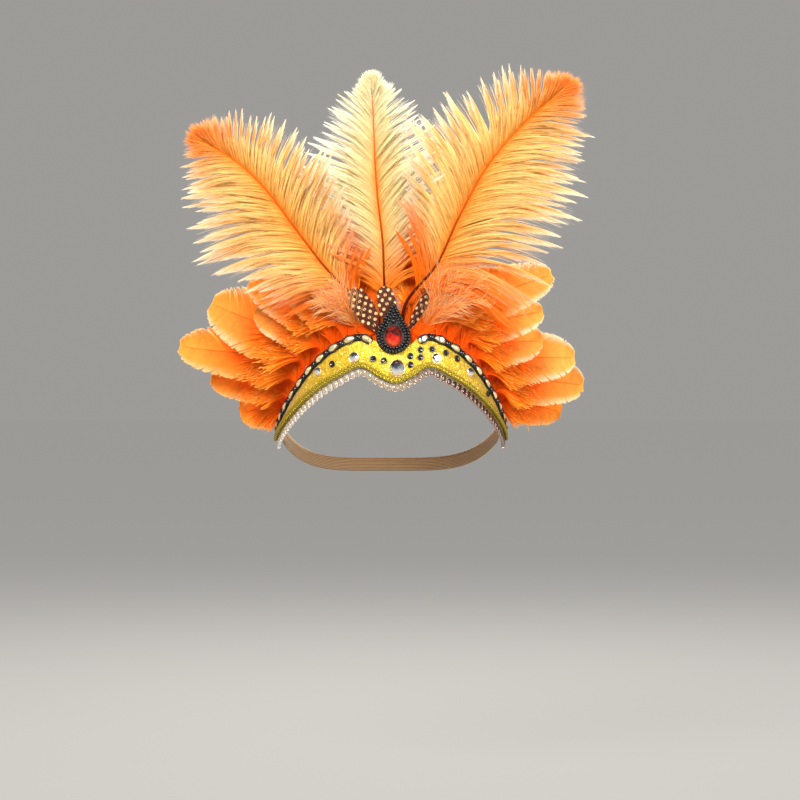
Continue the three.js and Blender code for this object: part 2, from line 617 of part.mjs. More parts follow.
const brooch = new THREE.Group();
const seat = headPoint(0, BROOCH_SEAT.z, BAND.wall + BROOCH_SEAT.lift);
brooch.position.set(BROOCH.x, seat.y + HEAD.frontLean * (BROOCH.z - BROOCH_SEAT.z), BROOCH.z);
brooch.rotation.x = -Math.atan(HEAD.frontLean);
headdress.add(brooch);
add("brooch_setting", broochSetting(), black, brooch);
add("brooch_stone", broochStone(), red, brooch);

GUINEA_FEATHERS.forEach((row) => add(`guinea_feather_${row.name}`, guineaFeather(row), spotted));
OSTRICH_PLUMES.forEach((row) => add(`ostrich_plume_${row.name}`, ostrichPlume(row), plume));
MARABOU.forEach((row) => add(`marabou_tuft_${row.name}`, marabouTuft(row), coral));
BROAD_FEATHERS.forEach((row) => add(`broad_feather_${row.name}`, broadFeather(row), orange));
add("elastic_strap", elasticStrap(), elastic);

export default headdress;
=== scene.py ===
# %% [markdown]
# # A carnival feather headdress
# A yellow crescent band dips to a point over the forehead. Braid, beads and stones edge it, a drop-shaped
# brooch sits at its middle, and behind it rise three ostrich plumes and a fan of broad feathers. This
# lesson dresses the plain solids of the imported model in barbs, cloth, braid and glass. Sizes are in
# millimetres, as they were when the solids were drawn, and turn to metres when a mesh is made.

# %% Load the frame
import math
import bpy
import numpy as np
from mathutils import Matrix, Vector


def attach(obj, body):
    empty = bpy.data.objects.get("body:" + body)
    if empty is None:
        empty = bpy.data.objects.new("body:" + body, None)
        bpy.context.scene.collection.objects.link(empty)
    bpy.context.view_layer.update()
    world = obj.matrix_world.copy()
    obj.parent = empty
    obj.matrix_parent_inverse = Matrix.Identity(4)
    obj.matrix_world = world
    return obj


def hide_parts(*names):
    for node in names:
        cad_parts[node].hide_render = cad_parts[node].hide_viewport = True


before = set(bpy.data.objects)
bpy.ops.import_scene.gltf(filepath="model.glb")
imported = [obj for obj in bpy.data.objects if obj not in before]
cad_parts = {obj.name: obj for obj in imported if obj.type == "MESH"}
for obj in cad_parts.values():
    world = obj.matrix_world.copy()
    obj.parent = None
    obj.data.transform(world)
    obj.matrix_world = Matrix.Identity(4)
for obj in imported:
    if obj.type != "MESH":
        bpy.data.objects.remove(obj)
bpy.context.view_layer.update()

MM = 0.001
print("nodes in the frame:", len(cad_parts))

# %% [markdown]
# ## Camera, floor and light
# The camera stands a metre and a half away, level with the band and two degrees to one side, with a long
# lens, so the feathers are seen almost without perspective. The floor is one wide sheet that glows a
# little, just enough for its far end to be as bright as the sky behind it. From the front, where the
# lamps light the near floor alone, no horizon shows.

# %% Camera
PICTURE_PIXELS = 800
MM_PER_PIXEL = 0.709
VIEW_AZIMUTH = math.radians(-2)
VIEW_DISTANCE = 1500
VIEW_LEVEL = 28.4
VIEW_ASIDE = 6.38
SENSOR = 36

view_right = np.array([math.cos(VIEW_AZIMUTH), math.sin(VIEW_AZIMUTH), 0])
view_back = np.array([math.sin(VIEW_AZIMUTH), -math.cos(VIEW_AZIMUTH), 0])
view_place = VIEW_ASIDE * view_right + VIEW_DISTANCE * view_back + [0, 0, VIEW_LEVEL]
lens = bpy.data.cameras.new("photo_camera")
lens.sensor_width = SENSOR
lens.lens = SENSOR * VIEW_DISTANCE / (MM_PER_PIXEL * PICTURE_PIXELS)
camera = bpy.data.objects.new("photo_camera", lens)
camera.location = view_place * MM
camera.rotation_euler = (math.pi / 2, 0, VIEW_AZIMUTH)
bpy.context.scene.collection.objects.link(camera)
bpy.context.scene.camera = camera
print("lens in mm:", round(lens.lens, 1))


# %% Arrays and meshes
def unit(vectors):
    """Each vector divided by its own length."""
    return vectors / np.maximum(np.linalg.norm(vectors, axis=-1, keepdims=True), 1e-9)


def inner(a, b):
    """The dot product of each pair of vectors, kept as a column."""
    return np.sum(a * b, axis=-1, keepdims=True)


def ease(x, low, high):
    """0 below low, 1 above high, and a smooth S between them."""
    t = np.clip((x - low) / (high - low), 0, 1)
    return t * t * (3 - 2 * t)


def mix(a, b, share):
    """a where share is 0 and b where share is 1."""
    return a + (b - a) * share


def grid_faces(rows, columns, ring=False):
    """The quads of a grid of points numbered row by row. A ring joins the last column to the first."""
    number = np.arange(rows * columns).reshape(rows, columns)
    if ring:
        number = np.concatenate([number, number[:, :1]], axis=1)
    corners = [number[:-1, :-1], number[:-1, 1:], number[1:, 1:], number[1:, :-1]]
    return np.stack(corners, axis=-1).reshape(-1, 4)


def repeated(faces, count, points_each):
    """The same faces for each of many copies: every copy's numbers start where the last copy's ended."""
    shifts = np.arange(count) * points_each
    return (faces[None] + shifts[:, None, None]).reshape(-1, faces.shape[1])


def joined(shapes):
    """Several (points, list of face arrays) as one, each shape's numbers moved past those before it."""
    points = np.concatenate([shape[0] for shape in shapes])
    firsts = np.cumsum([0] + [len(shape[0]) for shape in shapes[:-1]])
    faces = [f + first for shape, first in zip(shapes, firsts) for f in shape[1]]
    return points, faces


def facing_out(points, faces):
    """The faces turned round if the volume that they enclose comes out negative."""
    volume = sum(
        np.sum(points[f[:, 0]] * np.cross(points[f[:, i]], points[f[:, i + 1]]))
        for f in faces
        for i in range(1, f.shape[1] - 1)
    )
    return [f[:, ::-1] for f in faces] if volume < 0 else faces


def closed_strip(sections):
    """A closed body through a row of sections: a ring of points each, with both end rings filled in."""
    rows, columns = sections.shape[:2]
    points = sections.reshape(-1, 3)
    ends = np.stack([np.arange(columns)[::-1], np.arange(columns) + (rows - 1) * columns])
    return points, facing_out(points, [grid_faces(rows, columns, ring=True), ends])


def lengths_along(line):
    """How far each point of a line lies from its start, measured along the line."""
    return np.concatenate([[0], np.cumsum(np.linalg.norm(np.diff(line, axis=0), axis=1))])


def bent(start, bend, end, t):
    """A quadratic curve: it leaves its start toward the bend and comes to its end from there."""
    return (1 - t) ** 2 * start + 2 * t * (1 - t) * bend + t**2 * end


def make_piece(name, points, faces, finish, slot, stands_for=(), uv=None, fields=None, smooth=True):
    """One object at the origin from arrays: points in mm, faces grouped by their number of corners, and for
    each point a place on the UV map and any number of named values that its material reads."""
    mesh = bpy.data.meshes.new(name)
    corners = np.concatenate([f.ravel() for f in faces]).astype(np.int32)
    sizes = np.concatenate([np.full(len(f), f.shape[1]) for f in faces])
    mesh.vertices.add(len(points))
    mesh.vertices.foreach_set("co", (points * MM).astype(np.float32).ravel())
    mesh.loops.add(len(corners))
    mesh.loops.foreach_set("vertex_index", corners)
    mesh.polygons.add(len(sizes))
    mesh.polygons.foreach_set("loop_start", (np.cumsum(sizes) - sizes).astype(np.int32))
    mesh.polygons.foreach_set("use_smooth", np.full(len(sizes), smooth))
    if uv is not None:
        layer = mesh.uv_layers.new(name="UVMap")
        layer.data.foreach_set("uv", uv[corners].astype(np.float32).ravel())
    for field, values in (fields or {}).items():
        attribute = mesh.attributes.new(field, "FLOAT", "POINT")
        attribute.data.foreach_set("value", np.asarray(values, np.float32).ravel())
    mesh.update(calc_edges=True)
    mesh.validate()
    mesh.materials.append(finish)
    piece = bpy.data.objects.new(name, mesh)
    bpy.context.scene.collection.objects.link(piece)
    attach(piece, "root")
    if stands_for:
        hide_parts(*stands_for)
    triangles[name] = int(np.sum(sizes - 2))
    return piece


triangles = {}

# %% Floor and light
FLOOR_LEVEL = -260
FLOOR_HALF = 30000
SKY_COLOUR = (1.0, 0.97, 0.93, 1)
SKY_STRENGTH = 0.34
FLOOR_GLOW = 0.29
FLOOR_SHADE = 0.13
LIGHT_COLUMNS = ("name", "place", "aim", "size", "power", "colour")
LIGHT_ROWS = [
    ("key_light", (-0.8, -1.7, 1.2), (0, -0.06, 0.08), 0.9, 70, (1.0, 0.95, 0.87)),
    ("fill_light", (1.5, -1.6, 0.5), (0, -0.06, 0.08), 1.2, 48, (1.0, 0.95, 0.9)),
    ("back_light", (0.1, 0.75, 1.15), (0, -0.08, 0.14), 0.6, 46, (1.0, 0.96, 0.88)),
]

floor_mesh = bpy.data.meshes.new("studio_floor")
floor_corners = [(-1, -1), (1, -1), (1, 1), (-1, 1)]
floor_points = [(x * FLOOR_HALF * MM, y * FLOOR_HALF * MM, FLOOR_LEVEL * MM) for x, y in floor_corners]
floor_mesh.from_pydata(floor_points, [], [(0, 1, 2, 3)])
studio_floor = bpy.data.objects.new("studio_floor", floor_mesh)
bpy.context.scene.collection.objects.link(studio_floor)

floor_finish = bpy.data.materials.new("floor_paper")
floor_finish.use_nodes = True
paper = floor_finish.node_tree.nodes["Principled BSDF"]
paper.inputs["Base Color"].default_value = (FLOOR_SHADE, FLOOR_SHADE, FLOOR_SHADE, 1)
paper.inputs["Roughness"].default_value = 1.0
paper.inputs["Specular IOR Level"].default_value = 0.0
paper.inputs["Emission Color"].default_value = SKY_COLOUR
paper.inputs["Emission Strength"].default_value = FLOOR_GLOW
floor_mesh.materials.append(floor_finish)

bpy.context.scene.view_settings.view_transform = "Standard"
world = bpy.data.worlds.new("studio")
bpy.context.scene.world = world
world.use_nodes = True
sky = world.node_tree.nodes["Background"]
sky.inputs["Color"].default_value = SKY_COLOUR
sky.inputs["Strength"].default_value = SKY_STRENGTH


def soft_light(name, place, aim, size, power, colour):
    """A square area light at a place in metres, turned so that its face looks at the aim."""
    lamp = bpy.data.lights.new(name, "AREA")
    lamp.size = size
    lamp.energy = power
    lamp.color = colour
    holder = bpy.data.objects.new(name, lamp)
    holder.location = place
    away = Vector(place) - Vector(aim)
    holder.rotation_euler = away.to_track_quat("Z", "Y").to_euler()
    bpy.context.scene.collection.objects.link(holder)


for cells in LIGHT_ROWS:
    soft_light(**dict(zip(LIGHT_COLUMNS, cells)))
print("camera, floor and soft lights are set:", len(LIGHT_ROWS), "lights")

# %% [markdown]
# ## Finishes for feathers
# A dyed barb is thin enough for light to pass, so each feather finish mixes an ordinary surface with a
# translucent one. The colour follows the barb itself: the UV map holds how far along the barb a point is,
# and how far up the feather the barb stands. Small differences from barb to barb come from a random
# value.


# %% Colour helpers
def dye(code):
    """A colour written as six hexadecimal digits, turned to the linear values that shaders add up."""
    values = np.array([int(code[i : i + 2], 16) for i in (0, 2, 4)]) / 255
    linear = np.where(values <= 0.04045, values / 12.92, ((values + 0.055) / 1.055) ** 2.4)
    return (*linear.tolist(), 1.0)


class Finish:
    """A material whose nodes are added one by one, with short words for the ones that come up often."""

    def __init__(self, name):
        self.material = bpy.data.materials.new(name)
        self.material.use_nodes = True
        self.tree = self.material.node_tree
        self.surface = self.tree.nodes["Principled BSDF"]
        self.output = self.tree.nodes["Material Output"]

    def node(self, kind, settings=None, **inputs):
        """A new node: settings by name, inputs by number as in_0, and a link where a value is a socket."""
        made = self.tree.nodes.new(kind)
        for key, value in (settings or {}).items():
            setattr(made, key, value)
        for key, value in inputs.items():
            self.put(made.inputs[int(key[3:])], value)
        return made

    def put(self, socket, value):
        """Sets a socket's own value, or links a socket to it."""
        if isinstance(value, bpy.types.NodeSocket):
            self.tree.links.new(value, socket)
        else:
            socket.default_value = value

    def set(self, **sockets):
        """Sockets of the surface by name, with _ for a space."""
        for key, value in sockets.items():
            self.put(self.surface.inputs[key.replace("_", " ")], value)

    def math(self, operation, a, b=0.0):
        return self.node("ShaderNodeMath", {"operation": operation}, in_0=a, in_1=b).outputs[0]

    def value(self, field):
        return self.node("ShaderNodeAttribute", {"attribute_name": field}).outputs["Fac"]

    def map_range(self, value, low, high, to_low=0.0, to_high=1.0):
        node = self.node("ShaderNodeMapRange", {"interpolation_type": "SMOOTHSTEP"}, in_0=value)
        for socket, number in zip(node.inputs[1:5], (low, high, to_low, to_high)):
            socket.default_value = number
        return node.outputs[0]

    def ramp(self, value, stops):
        """A colour ramp through stops, each a place and a colour's six digits."""
        node = self.node("ShaderNodeValToRGB", in_0=value)
        elements = node.color_ramp.elements
        while len(elements) < len(stops):
            elements.new(1.0)
        for element, (place, code) in zip(elements, stops):
            element.position = place
            element.color = dye(code)
        return node.outputs[0]

    def blend(self, share, a, b, kind="MIX"):
        """Two colours mixed by a share."""
        node = self.node("ShaderNodeMix", {"data_type": "RGBA", "blend_type": kind})
        self.put(node.inputs[0], share)
        self.put(node.inputs[6], a)
        self.put(node.inputs[7], b)
        return node.outputs[2]

    def uv(self):
        """The two coordinates of the UV map, and the map itself."""
        flat = self.node("ShaderNodeUVMap", {"uv_map": "UVMap"}).outputs[0]
        parts = self.node("ShaderNodeSeparateXYZ", in_0=flat)
        return parts.outputs[0], parts.outputs[1], flat

    def here(self):
        return self.node("ShaderNodeTexCoord").outputs["Object"]

    def noise(self, vector, scale, detail=2.0):
        node = self.node("ShaderNodeTexNoise", in_0=vector)
        node.inputs["Scale"].default_value = scale
        node.inputs["Detail"].default_value = detail
        return node.outputs[0]

    def bump(self, height, strength, distance):
        node = self.node("ShaderNodeBump")
        node.inputs["Strength"].default_value = strength
        node.inputs["Distance"].default_value = distance
        self.put(node.inputs["Height"], height)
        self.put(self.surface.inputs["Normal"], node.outputs[0])

    def let_light_through(self, colour, share):
        """Mixes in a translucent surface of the same colour."""
        thin = self.node("ShaderNodeBsdfTranslucent", in_0=colour).outputs[0]
        both = self.node("ShaderNodeMixShader", in_0=share, in_1=self.surface.outputs[0], in_2=thin)
        self.tree.links.new(both.outputs[0], self.output.inputs["Surface"])


# The yellow that broad feathers turn toward their ends is partly paler dye and partly a painted highlight.
# The fringe white below is raised by the same painted highlight.
PALE_DYE_AND_HIGHLIGHT = dye("FFD06C")
FRINGE_WHITE = dye("FFF8E0")
SHEEN_TINT = (1.0, 0.62, 0.25, 1.0)


def feather_finish(name, barb_stops, tip_colour, tip_from, foot_colour, foot_to, quill_stops, through):
    """Along a barb the colour runs through the stops. It gives way to the foot's colour low on the feather
    and to the tip's colour high on it. Where the stops and the tip run pale, that is partly the dye and
    partly painted glow of light through the barbs. A feather with a value for pale turns paler toward its
    end, most
    of all at its fringe: partly paler dye and partly a painted highlight, set feather by feather. Each barb
    is a little lighter or darker than the next."""
    finish = Finish(name)
    along, rise, _ = finish.uv()
    colour = finish.ramp(along, barb_stops)
    colour = finish.blend(finish.map_range(rise, foot_to, 0.0), colour, foot_colour)
    colour = finish.blend(finish.map_range(rise, tip_from, 1.0, 0.0, 0.85), colour, tip_colour)
    # Paler toward the end and at the fringe: partly paler dye, partly a painted highlight whose strength each
    # feather's pale value sets.
    pale_and_highlight_share = finish.math("MULTIPLY", finish.value("pale"), finish.map_range(rise, 0.5, 0.9))
    colour = finish.blend(pale_and_highlight_share, colour, PALE_DYE_AND_HIGHLIGHT)
    fringe = finish.math("MULTIPLY", finish.value("pale"), finish.map_range(along, 0.62, 1.0))
    fringe = finish.math("MULTIPLY", fringe, finish.map_range(rise, 0.5, 0.85))
    colour = finish.blend(fringe, colour, FRINGE_WHITE)
    strand = finish.value("strand")
    shade = finish.map_range(strand, 0.0, 1.0, 0.84, 1.0)
    streaks = finish.noise(finish.here(), 260.0, 3.0)
    shade = finish.math("MULTIPLY", shade, finish.map_range(streaks, 0.3, 0.6, 0.9, 1.0))
    grey = finish.node("ShaderNodeCombineColor", in_0=shade, in_1=shade, in_2=shade).outputs[0]
    colour = finish.blend(1.0, colour, grey, "MULTIPLY")
    colour = finish.blend(finish.value("quill"), colour, finish.ramp(rise, quill_stops))
    finish.set(Base_Color=colour, Roughness=finish.map_range(strand, 0.0, 1.0, 0.5, 0.68))
    finish.set(Sheen_Weight=0.04, Sheen_Roughness=0.4, Sheen_Tint=SHEEN_TINT, Specular_IOR_Level=0.07)
    finish.let_light_through(colour, through)
    return finish.material


QUILL_STOPS = [(0.0, "2A0E06"), (0.3, "6A2008"), (0.6, "E0600C"), (1.0, "F58A20")]
# The pale barb ends of the plumes and the centre plume's near-white top are partly the dye and partly a
# painted glow of light shining through the barbs from behind and above.
side_plume_finish = feather_finish(
    "dyed_ostrich_side", tip_colour=dye("FF9A26"), tip_from=0.7, foot_colour=dye("FF8A14"), foot_to=0.2,
    barb_stops=[(0.0, "FF9E2C"), (0.14, "FFCC6A"), (0.5, "FFE098"), (0.8, "FFD48C"),
                (1.0, "FFF2DA")],
    quill_stops=QUILL_STOPS, through=0.45)
centre_plume_finish = feather_finish(
    "dyed_ostrich_centre", tip_colour=dye("FFF6D0"), tip_from=0.55, foot_colour=dye("FFA030"), foot_to=0.3,
    barb_stops=[(0.0, "FFBC48"), (0.14, "FFE8A4"), (0.5, "FFF5D0"), (1.0, "FFFDF4")],
    quill_stops=QUILL_STOPS, through=0.48)
broad_finish = feather_finish(
    "dyed_broad_feather", tip_colour=dye("FFB03C"), tip_from=0.5, foot_colour=dye("FF6204"), foot_to=0.34,
    barb_stops=[(0.0, "FF7006"), (0.6, "FF8412"), (0.92, "FF9A28"), (1.0, "FFC868")],
    quill_stops=[(0.0, "D84808"), (1.0, "FF9430")], through=0.4)
marabou_finish = feather_finish(
    "dyed_marabou", tip_colour=dye("FFD8A0"), tip_from=0.5, foot_colour=dye("FF8A30"), foot_to=0.3,
    barb_stops=[(0.0, "FF9030"), (0.4, "FFB660"), (1.0, "FFE0B0")],
    quill_stops=[(0.0, "C84808"), (1.0, "FF9430")], through=0.45)
print("finishes for plumes, broad feathers and marabou")

# %% [markdown]
# ## The head ring and the band's edges
# Everything is set out from one oval that leans inward as it rises, so that the band sits like a tiara.
# An angle from the front, a height and a distance outward give any point on or near the band. The two
# edges are heights given at a few angles with a smooth curve through them, the same on the left and the
# right.

# %% The head ring
HEAD_HALF_WIDTH = 78
HEAD_HALF_LENGTH = 95
SIDE_LEAN = 0.06
FRONT_LEAN = 0.16
BAND_WALL = 2.4
BAND_CROWN = 0.9
BAND_END = 88
EDGE_ANGLES = np.array([0, 7, 16, 30, 43, 58, 75, 90.0])
LOWER_EDGE = np.array([39.5, 43.2, 50, 43, 33.5, 20.5, 7, -2])
UPPER_EDGE = np.array([62.5, 65.5, 73, 67.5, 56, 38.5, 20, 8.5])


def head_point(angle, z, out):
    """A point of the oval at this angle and height, moved outward along the oval's normal."""
    angle, z, out = np.broadcast_arrays(np.radians(angle), np.asarray(z, float), np.asarray(out, float))
    wide = HEAD_HALF_WIDTH - SIDE_LEAN * z
    long = HEAD_HALF_LENGTH - FRONT_LEAN * z
    ring = np.stack([wide * np.sin(angle), -long * np.cos(angle), z], axis=-1)
    normal = np.stack([np.sin(angle) / wide, -np.cos(angle) / long, np.zeros_like(z)], axis=-1)
    return ring + unit(normal) * out[..., None]


def edge_height(heights, angle):
    """A cubic between each two given angles. Its slopes look to the neighbours on both sides, so it bends
    smoothly through every height, and it is level at the front."""
    place = np.abs(np.asarray(angle, float))
    knots = np.concatenate([[-EDGE_ANGLES[1]], EDGE_ANGLES, [EDGE_ANGLES[-2]]])
    values = np.concatenate([[heights[1]], heights, [heights[-2]]])
    k = np.clip(np.searchsorted(EDGE_ANGLES, place, side="right"), 1, len(EDGE_ANGLES) - 1)
    before, start, end, after = (knots[k + i] for i in (-1, 0, 1, 2))
    a = 0.5 * (end - start) / (start - before)
    b = 0.5 * (end - start) / (after - end)
    p = (place - start) / (end - start)
    weights = (
        -a * p**3 + 2 * a * p**2 - a * p,
        (1 + a) * p**3 - (1.5 + 2 * a) * p**2 + (a - 0.5) * p + 1,
        -(1 + b) * p**3 + (1.5 + b) * p**2 + 0.5 * p,
        b * p**3 - b * p**2,
    )
    return sum(w * values[k + i] for w, i in zip(weights, (-1, 0, 1, 2)))


def lower_edge(angle):
    return edge_height(LOWER_EDGE, angle)


def upper_edge(angle):
    return edge_height(UPPER_EDGE, angle)


def edge_braid_height(angle):
    return np.minimum(3.8, 0.42 * (upper_edge(angle) - lower_edge(angle)))


def ring_braid_height(angle):
    return np.minimum(5.6, 0.46 * (upper_edge(angle) - lower_edge(angle)))


def band_skin(angle, z):
    """How far out the cloth lies: the wall, and between the two braids a swell shaped like half a sine."""
    low = lower_edge(angle) + edge_braid_height(angle) + 0.4
    high = upper_edge(angle) - ring_braid_height(angle) - 0.4
    share = np.clip((z - low) / np.maximum(high - low, 0.1), 0, 1)
    return BAND_WALL + BAND_CROWN * np.clip((high - low) / 8, 0, 1) * np.sin(math.pi * share)


def spaced_angles(place, start, end, pitch):
    """Angles at equal distances along a path on the band: lengths are added up along fine steps, and the
    middle of each equal share is looked up among them."""
    fine = np.linspace(start, end, 801)
    lengths = lengths_along(place(fine))
    count = math.ceil(lengths[-1] / pitch)
    return np.interp((np.arange(count) + 0.5) / count * lengths[-1], lengths, fine)


def band_frames(angle, height, out):
    """Frames standing on the band's face: x back along the edge, y out from the head, z up the wall."""
    ahead, behind = angle + 0.5, angle - 0.5
    along = head_point(ahead, height(ahead), out) - head_point(behind, height(behind), out)
    up = head_point(angle, height(angle) + 1, out) - head_point(angle, height(angle) - 1, out)
    outward = unit(np.cross(along, up))
    x = unit(-along)
    frames = np.zeros((len(angle), 3, 4))
    frames[..., 0] = x
    frames[..., 1] = outward
    frames[..., 2] = np.cross(x, outward)
    frames[..., 3] = head_point(angle, height(angle), out)
    return frames


print("band height at the front in mm:", float(upper_edge(0) - lower_edge(0)))

# %% [markdown]
# ## Barbs
# Every feather here is made of barbs. A barb is a narrow ribbon along a path, so all the barbs of a
# feather are one array of paths: barb by step by coordinate. Each path gets two edges, pushed apart
# across the path by half the barb's width. Hair curves would be another way, but ribbons are plain meshes
# that can be exported.


# %% Ribbons and shafts
DEEPEST_QUILL = 0.7


def ribbons(paths, across, half_width):
    """Two edges for each path: the path plus and minus the across vector times half the width."""
    offset = across * half_width[..., None]
    points = np.stack([paths - offset, paths + offset], axis=2)
    count, steps = paths.shape[:2]
    faces = repeated(grid_faces(steps, 2), count, 2 * steps)
    return points.reshape(-1, 3), [faces]


def tubes(paths, radius, sides, reference=(0.0, -1.0, 0.0)):
    """A round tube along each path: circles across the path's own direction, joined, with closed ends."""
    count, steps = paths.shape[:2]
    tangent = unit(np.gradient(paths, axis=1))
    reference = np.broadcast_to(np.asarray(reference, float), paths.shape)
    u = unit(reference - tangent * inner(reference, tangent))
    v = np.cross(tangent, u)
    turn = np.linspace(0, 2 * math.pi, sides, endpoint=False)
    ring = u[:, :, None] * np.cos(turn)[:, None] + v[:, :, None] * np.sin(turn)[:, None]
    radius = np.broadcast_to(radius, (count, steps))
    points = paths[:, :, None] + ring * radius[:, :, None, None]
    walls = repeated(grid_faces(steps, sides, ring=True), count, steps * sides)
    first = np.arange(sides)[None]
    caps = np.concatenate([first[:, ::-1], first + (steps - 1) * sides])
    faces = [walls, repeated(caps, count, steps * sides)]
    return points.reshape(-1, 3), facing_out(points.reshape(-1, 3), faces)


def bezier(p0, p1, p2, p3, s):
    """The cubic curve of four points at shares s, and its direction there."""
    s = s[..., None]
    r = 1 - s
    place = r**3 * p0 + 3 * r**2 * s * p1 + 3 * r * s**2 * p2 + s**3 * p3
    slope = r**2 * (p1 - p0) + 2 * r * s * (p2 - p1) + s**2 * (p3 - p2)
    return place, unit(slope)


def vane_frame(tangent, facing=0.0):
    """The way a vane faces, square to its shaft, and the way across it."""
    way = np.array([math.sin(facing), -math.cos(facing), 0.0])
    face = unit(way - tangent * inner(way, tangent))
    return face, unit(np.cross(tangent, face))


def turned_from(tangent, across, face, in_vane, to_face):
    """The shaft's direction turned by one angle within the vane and by another toward its face."""
    flat = tangent * np.cos(in_vane)[..., None] + across * np.sin(in_vane)[..., None]
    return flat * np.cos(to_face)[..., None] + face * np.sin(to_face)[..., None]


def feather_fields(parts):
    """UV and named values for the parts of a feather, each (along, rise, strand, quill) as arrays."""
    along, rise, strand, quill = (np.concatenate([part[i].ravel() for part in parts]) for i in range(4))
    return np.stack([along, rise], axis=-1), {"strand": strand, "quill": quill}


def step_values(along, rise, strand, quill, shape, times):
    """Four values for each step of each path, repeated for the points that lie round that step."""
    spread = [np.broadcast_to(v, shape)[..., None] for v in (along, rise, strand, quill)]
    return [np.repeat(v, times, axis=2) for v in spread]


def ribbon_values(along, rise, strand, shape):
    """The values of a set of barbs, for the two edges of each."""
    return step_values(along, rise, strand, 0.0, shape, 2)


def tube_values(rise, sides):
    """The values of one shaft's tube, whose points go ring by ring."""
    return step_values(0.0, rise, 0.5, 1.0, (1, len(rise)), sides)


def quill_foot(angle, below, above, inside):
    """Two points on the inside of the band: where a quill starts, and where it clears the upper edge."""
    high = upper_edge(angle)
    depth = np.minimum(below, DEEPEST_QUILL * (high - lower_edge(angle)))
    return head_point(angle, high + np.array([-depth, above]), inside)


# %% [markdown]
# ## Ostrich plumes
# An ostrich plume has a bare shaft below and long loose barbs above that leave it at a slant, bend
# outward and cling together in pointed locks. Here thousands of barbs start all along the shaft. Each has
# a path of its own and is drawn, more and more toward its end, to the path of its lock. Lock and barb use
# one function.

# %% Plume shafts and barb paths
PLUME_BELOW = 12
PLUME_ABOVE = 3
PLUME_INSIDE = -1.95
PLUME_SHAFT_RADII = (1.25, 0.42)
PLUME_ROWS = {
    "left": {
        "angle": -4.5, "finish": side_plume_finish, "droop": (4, 2),
        "left_barbs": (48, 76, 34), "right_barbs": (34, 60, 34),
        "shaft": [(-17, -79.5, 88), (-43, -82.5, 113), (-66, -87, 142),
                  (-86, -92, 168), (-104, -98, 185), (-119, -105, 194)],
    },
    "centre": {
        "angle": 0, "finish": centre_plume_finish, "droop": (3, 3),
        "left_barbs": (40, 66, 26), "right_barbs": (40, 66, 26),
        "shaft": [(-6, -77, 96), (-8, -75, 136), (-11, -73, 162),
                  (-13, -73, 188), (-14, -76, 212), (-15, -81, 231)],
    },
    "right": {
        "angle": 4.5, "finish": side_plume_finish, "droop": (2, 18),
        "left_barbs": (42, 70, 34), "right_barbs": (74, 80, 40),
        "shaft": [(7, -79, 92), (28, -82.5, 119), (43, -87, 151),
                  (62, -92, 185), (86, -98, 213), (102, -105, 227)],
    },
}
PLUME_TIP = 10
PLUME_SIDES = 8
LEAVE_ANGLE = math.radians(40)
SETTLE_ANGLE = math.radians(74)
LEAVE_LIFT = math.radians(4)
SETTLE_LIFT = math.radians(12)
FIRST_BARB = 0.248
BARB_SPAN = 0.745
FULL_LENGTH_AT = 0.365
TIP_LENGTH_AT = 0.92
ROUND_FROM = 0.62
ROUND_TO = 1.04
BARBS_PER_SIDE = 3600
LOCKS_PER_SIDE = 46
LOCKS_IN_TRESS = 4
BARB_STEPS = 11


def shaft_line(points, samples=40):
    """A smooth line through points. Between two of them it is a cubic whose slopes weigh the neighbours by
    the square roots of their distances. It comes back as fine points, each with its share of the length."""
    p = np.concatenate([[2 * points[0] - points[1]], points, [2 * points[-1] - points[-2]]])
    gap = np.sqrt(np.linalg.norm(np.diff(p, axis=0), axis=1))[:, None]
    d0, d1, d2 = gap[:-2], gap[1:-1], gap[2:]
    x0, x1, x2, x3 = p[:-3], p[1:-2], p[2:-1], p[3:]
    m1 = d1 * ((x1 - x0) / d0 - (x2 - x0) / (d0 + d1) + (x2 - x1) / d1)
    m2 = d1 * ((x2 - x1) / d1 - (x3 - x1) / (d1 + d2) + (x3 - x2) / d2)
    t = np.linspace(0, 1, samples, endpoint=False)[:, None, None]
    cubic = (2 * t**3 - 3 * t**2 + 1) * x1 + (t**3 - 2 * t**2 + t) * m1
    cubic = cubic + (3 * t**2 - 2 * t**3) * x2 + (t**3 - t**2) * m2
    line = np.concatenate([cubic.transpose(1, 0, 2).reshape(-1, 3), points[-1:]])
    lengths = lengths_along(line)
    return lengths / lengths[-1], line


def on_line(line, share):
    """Places at shares of a line's length, and the line's direction there."""
    shares, points = line
    slope = unit(np.gradient(points, axis=0))
    place = np.stack([np.interp(share, shares, points[:, k]) for k in range(3)], axis=-1)
    way = np.stack([np.interp(share, shares, slope[:, k]) for k in range(3)], axis=-1)
    return place, unit(way)


